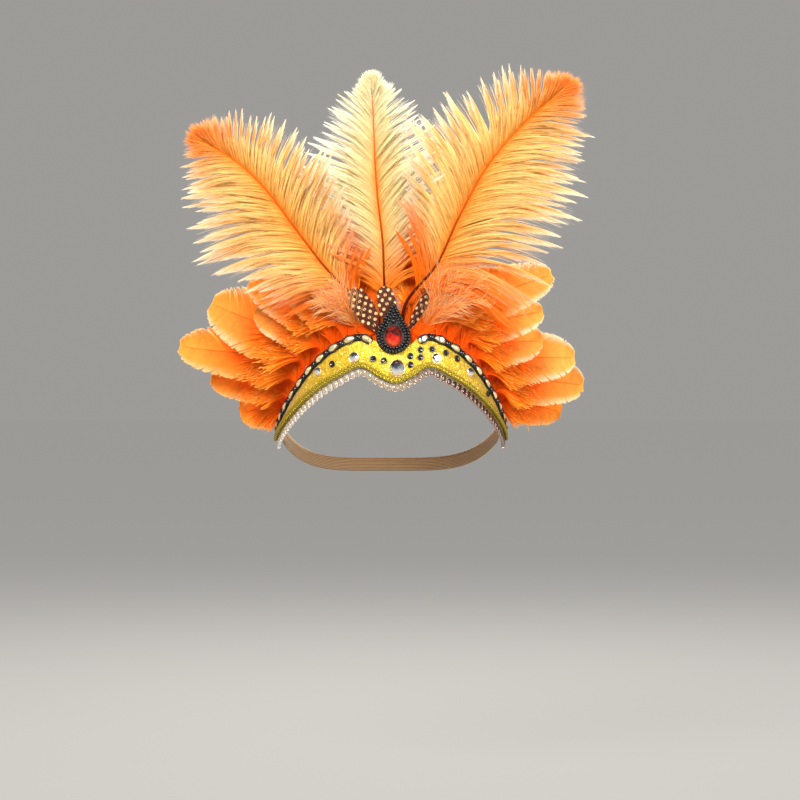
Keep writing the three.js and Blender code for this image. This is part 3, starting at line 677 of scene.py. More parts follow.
def barb_paths(row, line, s, side, swing, lift, stretch, steps):
    """Quadratic curves from the shaft: a barb leaves at one angle, bends to a wider one at half its length
    and sinks a little at its end. Toward the tip of the plume the barbs close in and shorten, by a quarter
    of an ellipse in the end, which rounds the tip off."""
    place, tangent = on_line(line, FIRST_BARB + BARB_SPAN * s)
    face, across = vane_frame(tangent)
    on_left = (side < 0)[:, None]
    foot, middle, tip = np.where(on_left, row["left_barbs"], row["right_barbs"]).T
    rising, falling = s / FULL_LENGTH_AT, (s - FULL_LENGTH_AT) / (TIP_LENGTH_AT - FULL_LENGTH_AT)
    length = np.where(rising < 1, mix(foot, middle, rising), mix(middle, tip, np.minimum(falling, 1)))
    past = np.clip((s - ROUND_FROM) / (ROUND_TO - ROUND_FROM), 0, 1)
    length = length * np.sqrt(1 - past**2) * stretch
    leave = side * LEAVE_ANGLE * (1 - 0.5 * s**4) * swing
    settle = side * SETTLE_ANGLE * (1 - 0.6 * s**4) * swing
    leave_way = turned_from(tangent, across, face, leave, LEAVE_LIFT + lift)
    settle_way = turned_from(tangent, across, face, settle, SETTLE_LIFT + 1.3 * lift)
    bend = place + leave_way * (0.5 * length)[:, None]
    end = bend + settle_way * (0.5 * length)[:, None]
    sink = np.where(side < 0, row["droop"][0], row["droop"][1]) * (1 - s) * (length / middle) ** 2
    end = end - np.stack([np.zeros_like(sink), np.zeros_like(sink), sink], axis=-1)
    return bent(place[:, None], bend[:, None], end[:, None], steps[None, :, None])


# %% Plumes
def ostrich_plume(name, row, seed):
    """The shaft and both sides' barbs as one mesh."""
    draw = np.random.default_rng(seed)
    foot = quill_foot(row["angle"], PLUME_BELOW, PLUME_ABOVE, PLUME_INSIDE)
    drawn = np.array(row["shaft"], float)
    hair_end = drawn[-1:] + PLUME_TIP * unit(drawn[-1:] - drawn[-2:-1])
    line = shaft_line(np.concatenate([foot, drawn, hair_end]))

    side = np.repeat([-1, 1], BARBS_PER_SIDE)
    count = len(side)
    s = draw.random(count) ** 0.92
    lock = np.floor(s * LOCKS_PER_SIDE).astype(int) + LOCKS_PER_SIDE * (side > 0)
    locks = 2 * LOCKS_PER_SIDE
    lock_s = (np.arange(locks) % LOCKS_PER_SIDE + draw.uniform(0.2, 0.8, locks)) / LOCKS_PER_SIDE
    tress = np.arange(locks) // LOCKS_IN_TRESS
    lock_swing = draw.normal(1, 0.045, locks) + draw.uniform(-0.07, 0.07, locks)[tress]
    lock_lift = draw.normal(0, 0.1, locks)
    lock_stretch = draw.uniform(0.9, 1.1, locks)
    closing = 1 - ease(s, 0.86, 1.0) * draw.random(count)
    steps = np.linspace(0, 1, BARB_STEPS)
    own_swing = closing * draw.normal(1, 0.09, count)
    own_lift = draw.normal(0, 0.16, count)
    own_stretch = draw.uniform(0.72, 1.04, count)
    own = barb_paths(row, line, s, side, own_swing, own_lift, own_stretch, steps)
    led_swing = closing * lock_swing[lock]
    led_stretch = lock_stretch[lock] * (1.03 - 0.3 * draw.random(count) ** 1.5)
    led = barb_paths(row, line, lock_s[lock], side, led_swing, lock_lift[lock], led_stretch, steps)
    cling = np.where(draw.random(count) < 0.08, 0.4, draw.uniform(0.91, 1.0, count))
    cling = cling * (1 - 0.55 * ease(s, 0.8, 0.94))
    paths = own + (led - own) * (cling[:, None] * ease(steps, 0.12, 0.72))[..., None]

    way = unit(np.gradient(paths, axis=1))
    flat = unit(np.cross(way, np.array([0.0, -1.0, 0.0])))
    roll = draw.uniform(-0.7, 0.7, count)[:, None, None]
    across = unit(flat * np.cos(roll) + np.cross(way, flat) * np.sin(roll))
    half_width = draw.uniform(0.2, 0.34, count)[:, None] * (1 - 0.88 * steps**1.8)
    barbs = ribbons(paths, across, half_width)

    share = np.linspace(0, 0.985, 60)
    shaft_path = on_line(line, share)[0][None]
    radius = mix(PLUME_SHAFT_RADII[0], PLUME_SHAFT_RADII[1], share**0.8)
    shaft = tubes(shaft_path, radius[None], PLUME_SIDES)

    points, faces = joined([barbs, shaft])
    values = [ribbon_values(steps, s[:, None], draw.random(count)[:, None], paths.shape[:2]),
              tube_values(share, PLUME_SIDES)]
    uv, fields = feather_fields(values)
    return make_piece(name, points, faces, row["finish"], "ostrich_plume", [name], uv, fields)


for seed, (key, row) in enumerate(PLUME_ROWS.items()):
    ostrich_plume("ostrich_plume_" + key, row, 11 + seed)
print("plume triangles:", {k: v for k, v in triangles.items() if "plume" in k})

# %% [markdown]
# ## Broad feathers
# The side feathers are short, rounded and cupped like petals. Their barbs lie side by side and lock into
# one smooth vane, which splits here and there, and only the pale ends stand free as a fine fringe. A barb
# runs on the vane's own surface from the shaft out to the edge, so the petal's outline and cup come from
# a formula for the width and one for the bend. Loose down at the foot fills the places where the petals
# meet the band.

# %% Broad feathers
QUILL_INSIDE = -1.35
QUILL_BELOW = 10
QUILL_ABOVE = 2.6
BROAD_BARBS = 190
BROAD_STEPS = 9
BROAD_SPLITS = 5
BROAD_TILT = math.radians(14)
QUILL_SIDES = 6
QUILL_RADII = (0.75, 0.22)
DOWN_BARBS = 560
DOWN_REACH = 16
DOWN_HALF_WIDTH = 0.42
LOW_DOWN_SWING = 0.45
SIDE_PETAL_FROM = 40
BROAD_COLUMNS = ("name", "angle", "tip", "half", "cup", "droop", "lean", "open", "pale")
# The pale column sets how far each feather's end turns pale: partly paler dye and partly a painted highlight,
# stronger on some petals than on others.
BROAD_ROWS = [
    ("left_1", -26, (-73, -77, 113), 17, 4, 0.1, 0, 0.1, 0.3),
    ("left_2", -33, (-97, -70, 110), 17, 4, 0.2, 0, 0.06, 0.5),
    ("left_3", -41, (-95, -60, 87), 14, 5, 0.5, 0, -0.02, 0.6),
    ("left_4", -51, (-125, -45, 95), 22, 5, 0.2, 0, -0.02, 0.5),
    ("left_5", -61, (-148, -28, 66), 17, 4, 0.2, 0, -0.02, 0.3),
    ("left_6", -70, (-127, -14, 44), 15, 4, 0.3, 0, -0.02, 0.15),
    ("left_7", -81, (-107, -1, 19), 14, 3, 0.4, 0, -0.02, 0.1),
    ("right_1", 22.5, (72, -79, 113), 15, 4, 0.1, 0, 0.12, 0.2),
    ("right_2", 29, (107, -72, 114), 16, 4, 0.2, 0, 0.06, 0.8),
    ("right_3", 38, (102, -62, 89), 14, 4, 0.3, 0, -0.02, 0.95),
    ("right_4", 47, (103, -50, 69), 15, 4, 0.4, 0, -0.02, 0.7),
    ("right_5", 57, (127, -34, 58), 17, 5, 0.3, 0, -0.02, 0.8),
    ("right_6", 67, (135, -18, 39), 17, 4, 0.3, 0, -0.02, 0.6),
    ("right_7", 79, (121, -3, 20), 14, 3, 0.4, 0, -0.02, 0.2),
    ("back_1", -15, (-46, -44, 160), 16, 3, 0, 0.8, 0.22, 0),
    ("back_2", -9, (-27, -66, 116), 11, 3, 0, 0.5, 0.2, 0),
    ("back_3", 9, (17, -57, 158), 16, 3, 0, 0.32, 0.2, 0),
    ("back_4", 14.5, (40, -44, 156), 16, 3, 0, 0.8, 0.22, 0),
]


def rounded_width(s, open_at):
    """The share of the full width: a sine where the vane opens, and half an ellipse toward its tip."""
    opening = np.clip((s - open_at) / 0.44, 0.06, 1)
    past = np.maximum(0, s - 0.62) / 0.39
    return np.sin(math.pi / 2 * opening) * np.sqrt(np.maximum(0.02, 1 - past**2))


def broad_spine(row):
    """The quill's foot and the four points of the curve that its shaft follows above the band's edge."""
    root, clear = quill_foot(row["angle"], QUILL_BELOW, QUILL_ABOVE, QUILL_INSIDE)
    tip = np.array(row["tip"], float)
    reach = np.linalg.norm(tip - clear)
    climb = unit(unit(clear - root) + np.array([0, row["lean"], 0]))
    fall = unit(unit(tip - clear) - np.array([0, 1, 0.6]) * row["droop"])
    return root, (clear, clear + 0.3 * reach * climb, tip - 0.32 * reach * fall, tip), reach


def broad_feather(row, seed):
    """Vane barbs, down at the foot and the shaft, as one mesh."""
    draw = np.random.default_rng(seed)
    root, curve, reach = broad_spine(row)
    facing = math.radians(0.3 * row["angle"])
    steps = np.linspace(0, 1, BROAD_STEPS)
    side = np.repeat([-1.0, 1.0], BROAD_BARBS)[:, None]
    s0 = np.tile(np.linspace(0.03, 0.985, BROAD_BARBS), 2)[:, None]
    splits = draw.uniform(0.3, 0.95, (2, BROAD_SPLITS))
    near = s0[..., None] - splits[(side[:, 0] > 0).astype(int)][:, None]
    parting = np.sum(0.012 * np.sign(near) * np.exp(-np.abs(near) / 0.025), axis=-1)
    advance = 0.3 * (1 - s0) ** 0.8
    downy = 1 - ease(s0, 0.12, 0.5)
    s = s0 + advance * steps**1.3 + parting * steps**3
    s = np.clip(s + draw.normal(0, 1, s0.shape) * (0.002 + 0.05 * downy * steps) * steps, 0, 1)
    width = row["half"] * rounded_width(s, row["open"]) * (1 + 0.4 * (1 - ease(s, 0.3, 0.75)))
    reach_out = steps * (draw.uniform(0.95, 1.045, s0.shape) - 0.55 * downy * draw.random(s0.shape))
    centre, tangent = bezier(*curve, s)
    face, across = vane_frame(tangent, facing)
    waves = draw.uniform(0, 2 * math.pi, 2)
    ripple = 1.5 * np.sin(9 * s + waves[0]) + 0.9 * np.sin(21 * s + waves[1] + side)
    rise = row["cup"] * reach_out**2 * width / 16 + ripple * reach_out**2
    rise = rise + draw.normal(0, 1, s0.shape) * (0.12 + 2.5 * downy * steps**2)
    paths = centre + across * (side * width * reach_out)[..., None] + face * rise[..., None]
    way = unit(np.gradient(paths, axis=1))
    lie = unit(tangent - way * inner(tangent, way))
    lie = lie * math.cos(BROAD_TILT) + face * math.sin(BROAD_TILT)
    half_width = 1.15 * reach / BROAD_BARBS * np.ones_like(s) * (1 - 0.6 * ease(steps, 0.86, 1.0))
    vane = ribbons(paths, lie, half_width)
    strand = draw.random(s0.shape) * 0.5 + 0.5 * draw.random(2)[(side > 0).astype(int)]

    down_s = draw.uniform(-0.1, 0.42, DOWN_BARBS)
    down_side = draw.choice([-1.0, 1.0], DOWN_BARBS)
    place, slope = bezier(*curve, down_s)
    down_face, down_across = vane_frame(slope, facing)
    swing = down_side * draw.uniform(0.3, 1.15, DOWN_BARBS)
    if abs(row["angle"]) > SIDE_PETAL_FROM:
        swing = swing * np.where(down_s < 0, LOW_DOWN_SWING, 1)
    lift = np.clip(draw.normal(0.05, 0.3, DOWN_BARBS), -0.5, 0.18)
    leave = turned_from(slope, down_across, down_face, swing * 0.6, lift)
    settle = turned_from(slope, down_across, down_face, swing * 1.25, lift * 1.4)
    length = draw.uniform(0.6, 1.5, DOWN_BARBS)[:, None] * max(row["half"], DOWN_REACH)
    bend = place + leave * 0.55 * length
    end = bend + settle * 0.55 * length
    down_paths = bent(place[:, None], bend[:, None], end[:, None], steps[None, :, None])
    down_way = unit(np.gradient(down_paths, axis=1))
    down_lie = unit(np.cross(down_way, down_face[:, None]))
    down_width = np.broadcast_to(DOWN_HALF_WIDTH * (1 - 0.75 * steps), down_paths.shape[:2])
    down = ribbons(down_paths, down_lie, down_width)
    down_rise = np.maximum(down_s, 0)[:, None] + 0.2 * steps

    share = np.linspace(0, 0.96, 26)
    shaft_path = np.concatenate([root[None], bezier(*curve, share)[0]])[None]
    shaft_rise = np.concatenate([[0], share])
    shaft = tubes(shaft_path, mix(*QUILL_RADII, shaft_rise)[None], QUILL_SIDES)

    points, faces = joined([vane, down, shaft])
    values = [ribbon_values(steps, s, strand, s.shape),
              ribbon_values(steps, down_rise, draw.random(DOWN_BARBS)[:, None], down_rise.shape),
              tube_values(shaft_rise, QUILL_SIDES)]
    uv, fields = feather_fields(values)
    fields["pale"] = np.full(len(points), row["pale"])
    name = "broad_feather_" + row["name"]
    return make_piece(name, points, faces, broad_finish, "broad_feather", [name], uv, fields)


for seed, cells in enumerate(BROAD_ROWS):
    broad_feather(dict(zip(BROAD_COLUMNS, cells)), 101 + seed)
print("broad feathers:", len(BROAD_ROWS), "of about", triangles["broad_feather_left_1"], "triangles")

# %% [markdown]
# ## Marabou
# Marabou is down: thin stems with soft strands on both sides that curl and cling to nothing. Two tufts
# lie before the broad feathers. Their stems start together at a short quill and fan out, and each strand
# leaves its stem at a slant with a small curl of its own, a sine across the strand that grows toward its
# end.

# %% Marabou tufts
MARABOU_COLUMNS = ("name", "angle", "side", "low", "high", "length")
MARABOU_ROWS = [("left", -20.5, -1, 34, 92, 46), ("right", 18, 1, 16, 88, 54)]
MARABOU_STEMS = 11
STEM_STRANDS = 64
STRAND_STEPS = 9
STEM_STEPS = 14
STEM_SIDES = 5
STEM_RADII = (0.3, 0.1)
STEM_COLOUR_AT = (0.3, 0.5, 0.8)


def marabou_tuft(row, seed):
    """Stems that bend from upright toward the side and forward, and the strands along them."""
    draw = np.random.default_rng(seed)
    root, clear = quill_foot(row["angle"], QUILL_BELOW, QUILL_ABOVE, QUILL_INSIDE)
    up = unit(clear - root)
    head = clear + 3 * up
    right = np.array([1.0, 0, 0])
    front = np.array([0, -1.0, 0])
    spread = np.linspace(row["low"], row["high"], MARABOU_STEMS) + draw.normal(0, 5, MARABOU_STEMS)
    spread = row["side"] * np.radians(spread)
    lift = np.radians(draw.normal(30, 7, MARABOU_STEMS))
    length = row["length"] * draw.uniform(0.6, 1.05, (MARABOU_STEMS, 1))
    bend = head + turned_from(up, right, front, 0.45 * spread, 0.9 * lift) * 0.5 * length
    end = bend + turned_from(up, right, front, 1.05 * spread, 1.15 * lift) * 0.5 * length
    stems = bent(head, bend[:, None], end[:, None], np.linspace(0, 1, STEM_STEPS)[None, :, None])

    count = MARABOU_STEMS * STEM_STRANDS
    stem = np.repeat(np.arange(MARABOU_STEMS), STEM_STRANDS)
    at = draw.uniform(-0.06, 0.98, (count, 1))
    place = bent(head, bend[stem], end[stem], at)
    way = unit((1 - at) * (bend[stem] - head) + at * (end - bend)[stem])
    aside = unit(np.cross(way, front))
    leave = draw.choice([-1.0, 1.0], count) * draw.uniform(0.25, 0.85, count)
    toward = draw.normal(0, 0.35, count)
    along = turned_from(way, aside, front, leave, toward)[:, None]
    long = (draw.uniform(7, 20, (count, 1)) * (1 - 0.45 * at))[:, None]
    steps = np.linspace(0, 1, STRAND_STEPS)
    t = steps[None, :, None]
    curl = (aside * draw.normal(0, 1.7, (count, 1)) + front * draw.normal(0, 1.2, (count, 1)))[:, None]
    bow = (way * draw.uniform(0, 5, (count, 1)))[:, None]
    phase = draw.uniform(0, 2 * math.pi, (count, 1, 1))
    paths = place[:, None] + along * long * t + bow * t**2 + curl * t**1.4 * np.sin(4 * t + phase)
    flat = unit(np.cross(unit(np.gradient(paths, axis=1)), front))
    half_width = draw.uniform(0.12, 0.22, (count, 1)) * (1 - 0.8 * steps**1.4)
    strands = ribbons(paths, flat, half_width)
    stem_tubes = tubes(stems, np.linspace(*STEM_RADII, STEM_STEPS)[None], STEM_SIDES)
    quill = tubes(np.stack([root, clear, head])[None], np.array([[0.75, 0.75, 0.5]]), QUILL_SIDES)
    points, faces = joined([strands, stem_tubes, quill])
    bright = 0.35 + 0.4 * at + 0.1 * draw.random((count, 1))
    values = [ribbon_values(steps, bright, draw.random((count, 1)), paths.shape[:2]),
              step_values(*STEM_COLOUR_AT, 0.0, stems.shape[:2], STEM_SIDES),
              tube_values(np.array([0.0, 0.2, 0.4]), QUILL_SIDES)]
    uv, fields = feather_fields(values)
    name = "marabou_tuft_" + row["name"]
    return make_piece(name, points, faces, marabou_finish, "marabou", [name], uv, fields)


for seed, cells in enumerate(MARABOU_ROWS):
    marabou_tuft(dict(zip(MARABOU_COLUMNS, cells)), 301 + seed)
print("marabou strands on each side:", MARABOU_STEMS * STEM_STRANDS)

# %% [markdown]
# ## Spotted feathers
# Behind the brooch stand three small dark feathers with rows of pale dots. The vane is made as the broad
# ones are. The dots are drawn by the finish: the UV map is the flat feather in millimetres, every second
# row is shifted by half a step, and a place nearer to its dot's middle than the dot's radius is pale.

# %% Spotted feathers
SPOT_PITCH = 5.2
SPOT_ROW = 3.1
SPOT_RADIUS = 1.05
SPOT_EDGE = 0.12


def spotted_finish():
    """Dark brown with pale dots on a staggered grid, and fine lines where the barbs lie side by side."""
    finish = Finish("spotted_feather")
    x, y, _ = finish.uv()
    row = finish.math("DIVIDE", y, SPOT_ROW)
    shift = finish.math("MULTIPLY", finish.math("FLOORED_MODULO", finish.math("FLOOR", row), 2.0), 0.5)
    column = finish.math("ADD", finish.math("DIVIDE", x, SPOT_PITCH), shift)
    off_x = finish.math("MULTIPLY", finish.math("SUBTRACT", finish.math("FRACT", column), 0.5), SPOT_PITCH)
    off_y = finish.math("MULTIPLY", finish.math("SUBTRACT", finish.math("FRACT", row), 0.5), SPOT_ROW)
    squares = finish.math("ADD", finish.math("POWER", off_x, 2.0), finish.math("POWER", off_y, 2.0))
    far = finish.math("SQRT", squares)
    spot = finish.map_range(far, SPOT_RADIUS + SPOT_EDGE, SPOT_RADIUS - SPOT_EDGE)
    strand = finish.value("strand")
    dark = finish.ramp(strand, [(0.0, "300E06"), (1.0, "64220E")])
    pale = finish.ramp(strand, [(0.0, "D8A05C"), (1.0, "F8DCA8")])
    colour = finish.blend(spot, dark, pale)
    colour = finish.blend(finish.value("quill"), colour, dye("3A1608"))
    finish.set(Base_Color=colour, Roughness=finish.map_range(strand, 0.0, 1.0, 0.45, 0.65))
    finish.set(Sheen_Weight=0.1, Specular_IOR_Level=0.35)
    finish.let_light_through(colour, 0.12)
    return finish.material


GUINEA_COLUMNS = ("name", "foot", "tip", "half", "turn")
GUINEA_ROWS = [
    ("left", (-8, -84.3, 69), (-29, -85, 103), 7.2, 0),
    ("centre", (-1, -84.9, 70), (-7.5, -79.6, 105), 6.4, 0),
    ("right", (7, -83.6, 71), (22, -85, 100), 4.2, 35),
]
GUINEA_BARBS = 110
GUINEA_SHAFT_OUT = 0.25
GUINEA_SHAFT_RADII = (0.5, 0.16)
GUINEA_WIDTHS = ((0, 0.2, 0.45, 0.7, 0.92, 1.0), (0.12, 0.36, 0.9, 1.0, 0.76, 0.2))
guinea_finish = spotted_finish()


def guinea_feather(row, seed):
    """A straight shaft and a vane whose width is read off a short table."""
    draw = np.random.default_rng(seed)
    foot, tip = np.array(row["foot"], float), np.array(row["tip"], float)
    tall = np.linalg.norm(tip - foot)
    tangent = unit(tip - foot)
    face, across = vane_frame(tangent)
    turn = math.radians(row["turn"])
    face = face * math.cos(turn) + np.cross(tangent, face) * math.sin(turn)
    across = np.cross(tangent, face)
    steps = np.linspace(0, 1, BROAD_STEPS)
    side = np.repeat([-1.0, 1.0], GUINEA_BARBS)[:, None]
    s0 = np.tile(np.linspace(0.02, 0.97, GUINEA_BARBS), 2)[:, None]
    s = np.clip(s0 + (1 - s0) ** 0.7 * 0.26 * steps**1.2 + draw.normal(0, 0.004, s0.shape) * steps, 0, 1)
    width = row["half"] * np.interp(s, *GUINEA_WIDTHS)
    out = steps * draw.uniform(0.93, 1.06, s0.shape)
    x = side * width * out
    rise = 2 * out**2 * width / 16 + draw.normal(0, 0.1, s0.shape) * steps
    centre = foot + tangent * (s * tall)[..., None]
    paths = centre + across * x[..., None] + face * rise[..., None]
    half_width = 1.2 * tall / GUINEA_BARBS * np.ones_like(s) * (1 - 0.6 * ease(steps, 0.8, 1.0))
    lie = np.broadcast_to(tangent * math.cos(0.2) + face * math.sin(0.2), paths.shape)
    vane = ribbons(paths, lie, half_width)
    share = np.linspace(0, 0.96, 12)
    shaft_path = (foot + tangent * (share * tall)[:, None] + GUINEA_SHAFT_OUT * face)[None]
    shaft = tubes(shaft_path, mix(*GUINEA_SHAFT_RADII, share)[None], QUILL_SIDES)
    points, faces = joined([vane, shaft])
    values = [ribbon_values(x, s * tall, draw.random(s0.shape), s.shape), tube_values(share, QUILL_SIDES)]
    uv, fields = feather_fields(values)
    name = "guinea_feather_" + row["name"]
    return make_piece(name, points, faces, guinea_finish, "guinea_feather", [name], uv, fields)


for seed, cells in enumerate(GUINEA_ROWS):
    guinea_feather(dict(zip(GUINEA_COLUMNS, cells)), 401 + seed)
print("spotted feathers:", len(GUINEA_ROWS))

# %% [markdown]
# ## The headband
# The band is a padded crescent covered in shiny yellow cloth. Its section is a closed loop: up the outer
# face, over the rounded edge, down the inner face and round again. Carried along the head ring it is one
# grid. Where the brooch is sewn down the cloth is drawn in folds, which are waves round the brooch that
# fade away.


# %% Cloth finish
def band_finish():
    """Lemon yellow in the middle and ochre at the ends, with the small scales of a glittering cloth: cell by
    cell at random, some scales get painted shade and the brightest a painted glint.
    """
    finish = Finish("yellow_glitter_cloth")
    _, _, flat = finish.uv()
    side = finish.value("side")
    scales = finish.node("ShaderNodeTexVoronoi", in_0=flat)
    scales.inputs["Scale"].default_value = 0.85
    distance, cell = scales.outputs["Distance"], scales.outputs["Color"]
    light = finish.node("ShaderNodeSeparateColor", in_0=cell).outputs[0]
    cloudy = finish.noise(flat, 0.16, 3.0)
    base = finish.ramp(side, [(0.0, "DCC010"), (0.45, "CCA60C"), (1.0, "A87606")])
    base = finish.blend(finish.map_range(cloudy, 0.42, 0.62, 0.0, 0.45), base, dye("B48A08"))
    # Painted shade on the darker scales here, and a painted glint of pale yellow on the brightest ones next.
    base = finish.blend(finish.map_range(light, 0.0, 0.45, 0.55, 0.0), base, dye("8C7406"))
    base = finish.blend(finish.map_range(light, 0.8, 1.0, 0.0, 0.6), base, dye("FFF27A"))
    finish.set(Base_Color=base, Roughness=finish.map_range(light, 0.0, 1.0, 0.55, 0.26))
    finish.set(Metallic=0.25, Sheen_Weight=0.2, Specular_IOR_Level=0.5)
    tilted = finish.math("MULTIPLY", light, 0.8)
    finish.bump(finish.math("ADD", finish.math("MULTIPLY", distance, -1.0), tilted), 0.55, 0.0006)
    return finish.material


# %% Headband
BAND_COLUMNS = 320
FACE_ROWS = 34
BACK_ROWS = 14
EDGE_ROUND = 1.2
BROOCH_X = -1
BROOCH_Z = 70.5
FRONT_RADIUS = 80
FOLD_DEPTH = 0.42
FOLD_PLACE = 14
FOLD_SPREAD = 6
PUCKER_DEPTH = 0.14

face_share = 0.5 - 0.5 * np.cos(np.linspace(0, math.pi, FACE_ROWS))
back_share = 0.5 + 0.5 * np.cos(np.linspace(0, math.pi, BACK_ROWS))[1:-1]
loop_share = np.concatenate([face_share, back_share])[None]
is_face = (np.arange(loop_share.size) < FACE_ROWS)[None]
angle = np.linspace(-BAND_END, BAND_END, BAND_COLUMNS)[:, None]
low, high = lower_edge(angle), upper_edge(angle)
z = low + loop_share * (high - low)
to_edge = np.minimum(z - low, high - z)
swell = np.sqrt(1 - (1 - np.clip(to_edge / EDGE_ROUND, 0, 1)) ** 2)
arc = np.radians(angle) * FRONT_RADIUS
round_brooch = np.hypot(arc - BROOCH_X, z - BROOCH_Z)
bearing = np.arctan2(z - BROOCH_Z, arc - BROOCH_X)
near_brooch = np.exp(-(((round_brooch - FOLD_PLACE) / FOLD_SPREAD) ** 2))
folds = FOLD_DEPTH * np.cos(13 * bearing + 0.8 * np.sin(3 * bearing)) * near_brooch
puckers = PUCKER_DEPTH * np.sin(1.1 * arc + 2 * np.sin(0.31 * z)) * np.sin(0.53 * z + 0.4 * arc)
relief = (folds + puckers) * ease(to_edge, 1.5, 5)
front = 0.5 * BAND_WALL * (1 + swell) + (band_skin(angle, z) - BAND_WALL) + relief
back = 0.5 * BAND_WALL * (1 - swell)
points, faces = closed_strip(head_point(angle, z, np.where(is_face, front, back)))
uv = np.stack(np.broadcast_arrays(arc, z + 40 * ~is_face), axis=-1).reshape(-1, 2)
side = np.broadcast_to(np.abs(angle) / BAND_END, z.shape)
headband = make_piece("headband_cover", points, faces, band_finish(), "band_cloth", ["headband"],
                      uv, {"side": side})
print("headband triangles:", triangles["headband_cover"])

# %% [markdown]
# ## Braid along the lower edge
# The lower edge is bound with a plait of three metallic yarns. Each yarn swings from side to side like a
# sine and rises and dips twice as often, a third of a turn behind the next one, which is just how a plait
# is worked. A textured strip would be flat in close views, so the three yarns are real tubes.


# %% Metal and yarn finishes
FULL_TURN = 2 * math.pi


def metal_finish(name, bright, dark, metallic, rough, ribs):
    """A metal thread: ribs across the UV map's length, with painted shade between them where the twist dips,
    and small scuffs.
    """
    finish = Finish(name)
    along, around, _ = finish.uv()
    twist = finish.math("MULTIPLY", around, FULL_TURN)
    wave = finish.math("SINE", finish.math("ADD", finish.math("MULTIPLY", along, ribs), twist))
    scuffs = finish.noise(finish.here(), 900.0)
    # Painted shade in the grooves between the ribs.
    colour = finish.blend(finish.map_range(wave, -1.0, 0.4, 0.75, 0.0), bright, dark)
    colour = finish.blend(finish.map_range(scuffs, 0.45, 0.7, 0.0, 0.4), colour, dark)
    finish.set(Base_Color=colour, Roughness=finish.map_range(scuffs, 0.3, 0.7, rough - 0.1, rough + 0.12))
    finish.set(Metallic=metallic)
    finish.bump(wave, 0.5, 0.0002)
    return finish.material


def tube_uv(paths, sides):
    """For tubes: length along the path in mm, and the share of the way round."""
    lengths = np.cumsum(np.linalg.norm(np.diff(paths, axis=1, prepend=paths[:, :1]), axis=-1), axis=1)
    around = np.broadcast_to(np.arange(sides) / sides, (*lengths.shape, sides))
    return np.stack([np.repeat(lengths[..., None], sides, axis=2), around], axis=-1).reshape(-1, 2)


def beside_path(frames, aside, out, up):
    """Points set off from frames by distances along the edge, out of the band and up it."""
    return frames[..., 3] + frames[..., 0] * aside + frames[..., 1] * out + frames[..., 2] * up


# %% Edge braid
PLAIT_PITCH = 7.5
PLAIT_STEP = 0.55
PLAIT_OUT = 1.35
PLAIT_DEPTH = 0.45
YARN_SIDES = 8
braid_gold = metal_finish("olive_gold_yarn", dye("C8B43A"), dye("5A4C0C"), 0.7, 0.36, 7.0)


def braid_middle(angle):
    return lower_edge(angle) + 0.5 * edge_braid_height(angle)


def on_lower_braid(angle):
    return head_point(angle, braid_middle(angle), BAND_WALL)


angle = spaced_angles(on_lower_braid, -BAND_END, BAND_END, PLAIT_STEP)
frames = band_frames(angle, braid_middle, BAND_WALL + PLAIT_OUT)
phase = 2 * math.pi * (np.arange(len(angle)) * PLAIT_STEP / PLAIT_PITCH + np.arange(3)[:, None] / 3)
tall = edge_braid_height(angle)
yarn_out = (PLAIT_DEPTH * np.sin(2 * phase))[..., None]
yarn_up = (0.3 * tall * np.sin(phase))[..., None]
paths = beside_path(frames[None], 0, yarn_out, yarn_up)
yarns = tubes(paths, 0.235 * tall[None], YARN_SIDES)
make_piece("edge_braid_plait", *yarns, braid_gold, "edge_braid", ["edge_braid"], tube_uv(paths, YARN_SIDES))
print("plait length in mm:", round(len(angle) * PLAIT_STEP))

# %% [markdown]
# ## Ring braid along the upper edge
# A black tape on the upper edge carries pale gold ovals and black domed beads by turns, and two black
# cords wind round the ovals and cross under the beads. A cord's swing is a cosine whose zeros are the
# beads, and the second cord is its mirror image. In real braid the cords are stitched down, and here they
# just sink into the tape.


# %% Little turned shapes
def turned(profile, sides):
    """A profile of (radius, height) turned round the y axis, with a point closing each end."""
    profile = np.array(profile, float)
    turn = np.linspace(0, 2 * math.pi, sides, endpoint=False)
    radius, height = profile[1:-1, :1], profile[1:-1, 1:]
    rings = np.stack(np.broadcast_arrays(radius * np.cos(turn), height, radius * np.sin(turn)), axis=-1)
    poles = np.array([[0, profile[0, 1], 0], [0, profile[-1, 1], 0]])
    points = np.concatenate([rings.reshape(-1, 3), poles])
    count = len(profile) - 2
    first, after = np.arange(sides), (np.arange(sides) + 1) % sides
    last = (count - 1) * sides
    bottom = np.stack([np.full(sides, count * sides), after, first], axis=-1)
    top = np.stack([np.full(sides, count * sides + 1), first + last, after + last], axis=-1)
    return points, facing_out(points, [grid_faces(count, sides, ring=True), np.concatenate([bottom, top])])


def copies(shape, frames, scale=(1, 1, 1)):
    """The same shape in each frame: frame times point, with its numbers moved on for each copy."""
    points, faces = shape
    points = points * np.array(scale, float)
    placed = np.einsum("nij,pj->npi", frames[..., :3], points) + frames[:, None, :, 3]
    return placed.reshape(-1, 3), [repeated(f, len(frames), len(points)) for f in faces]


def dome(radius, rise, steps=4):
    """The profile of a low dome on a flat foot: a quarter of an ellipse."""
    turn = np.linspace(0, math.pi / 2, steps + 1)
    return [(0, 0), *zip(radius * np.cos(turn), rise * np.sin(turn))]


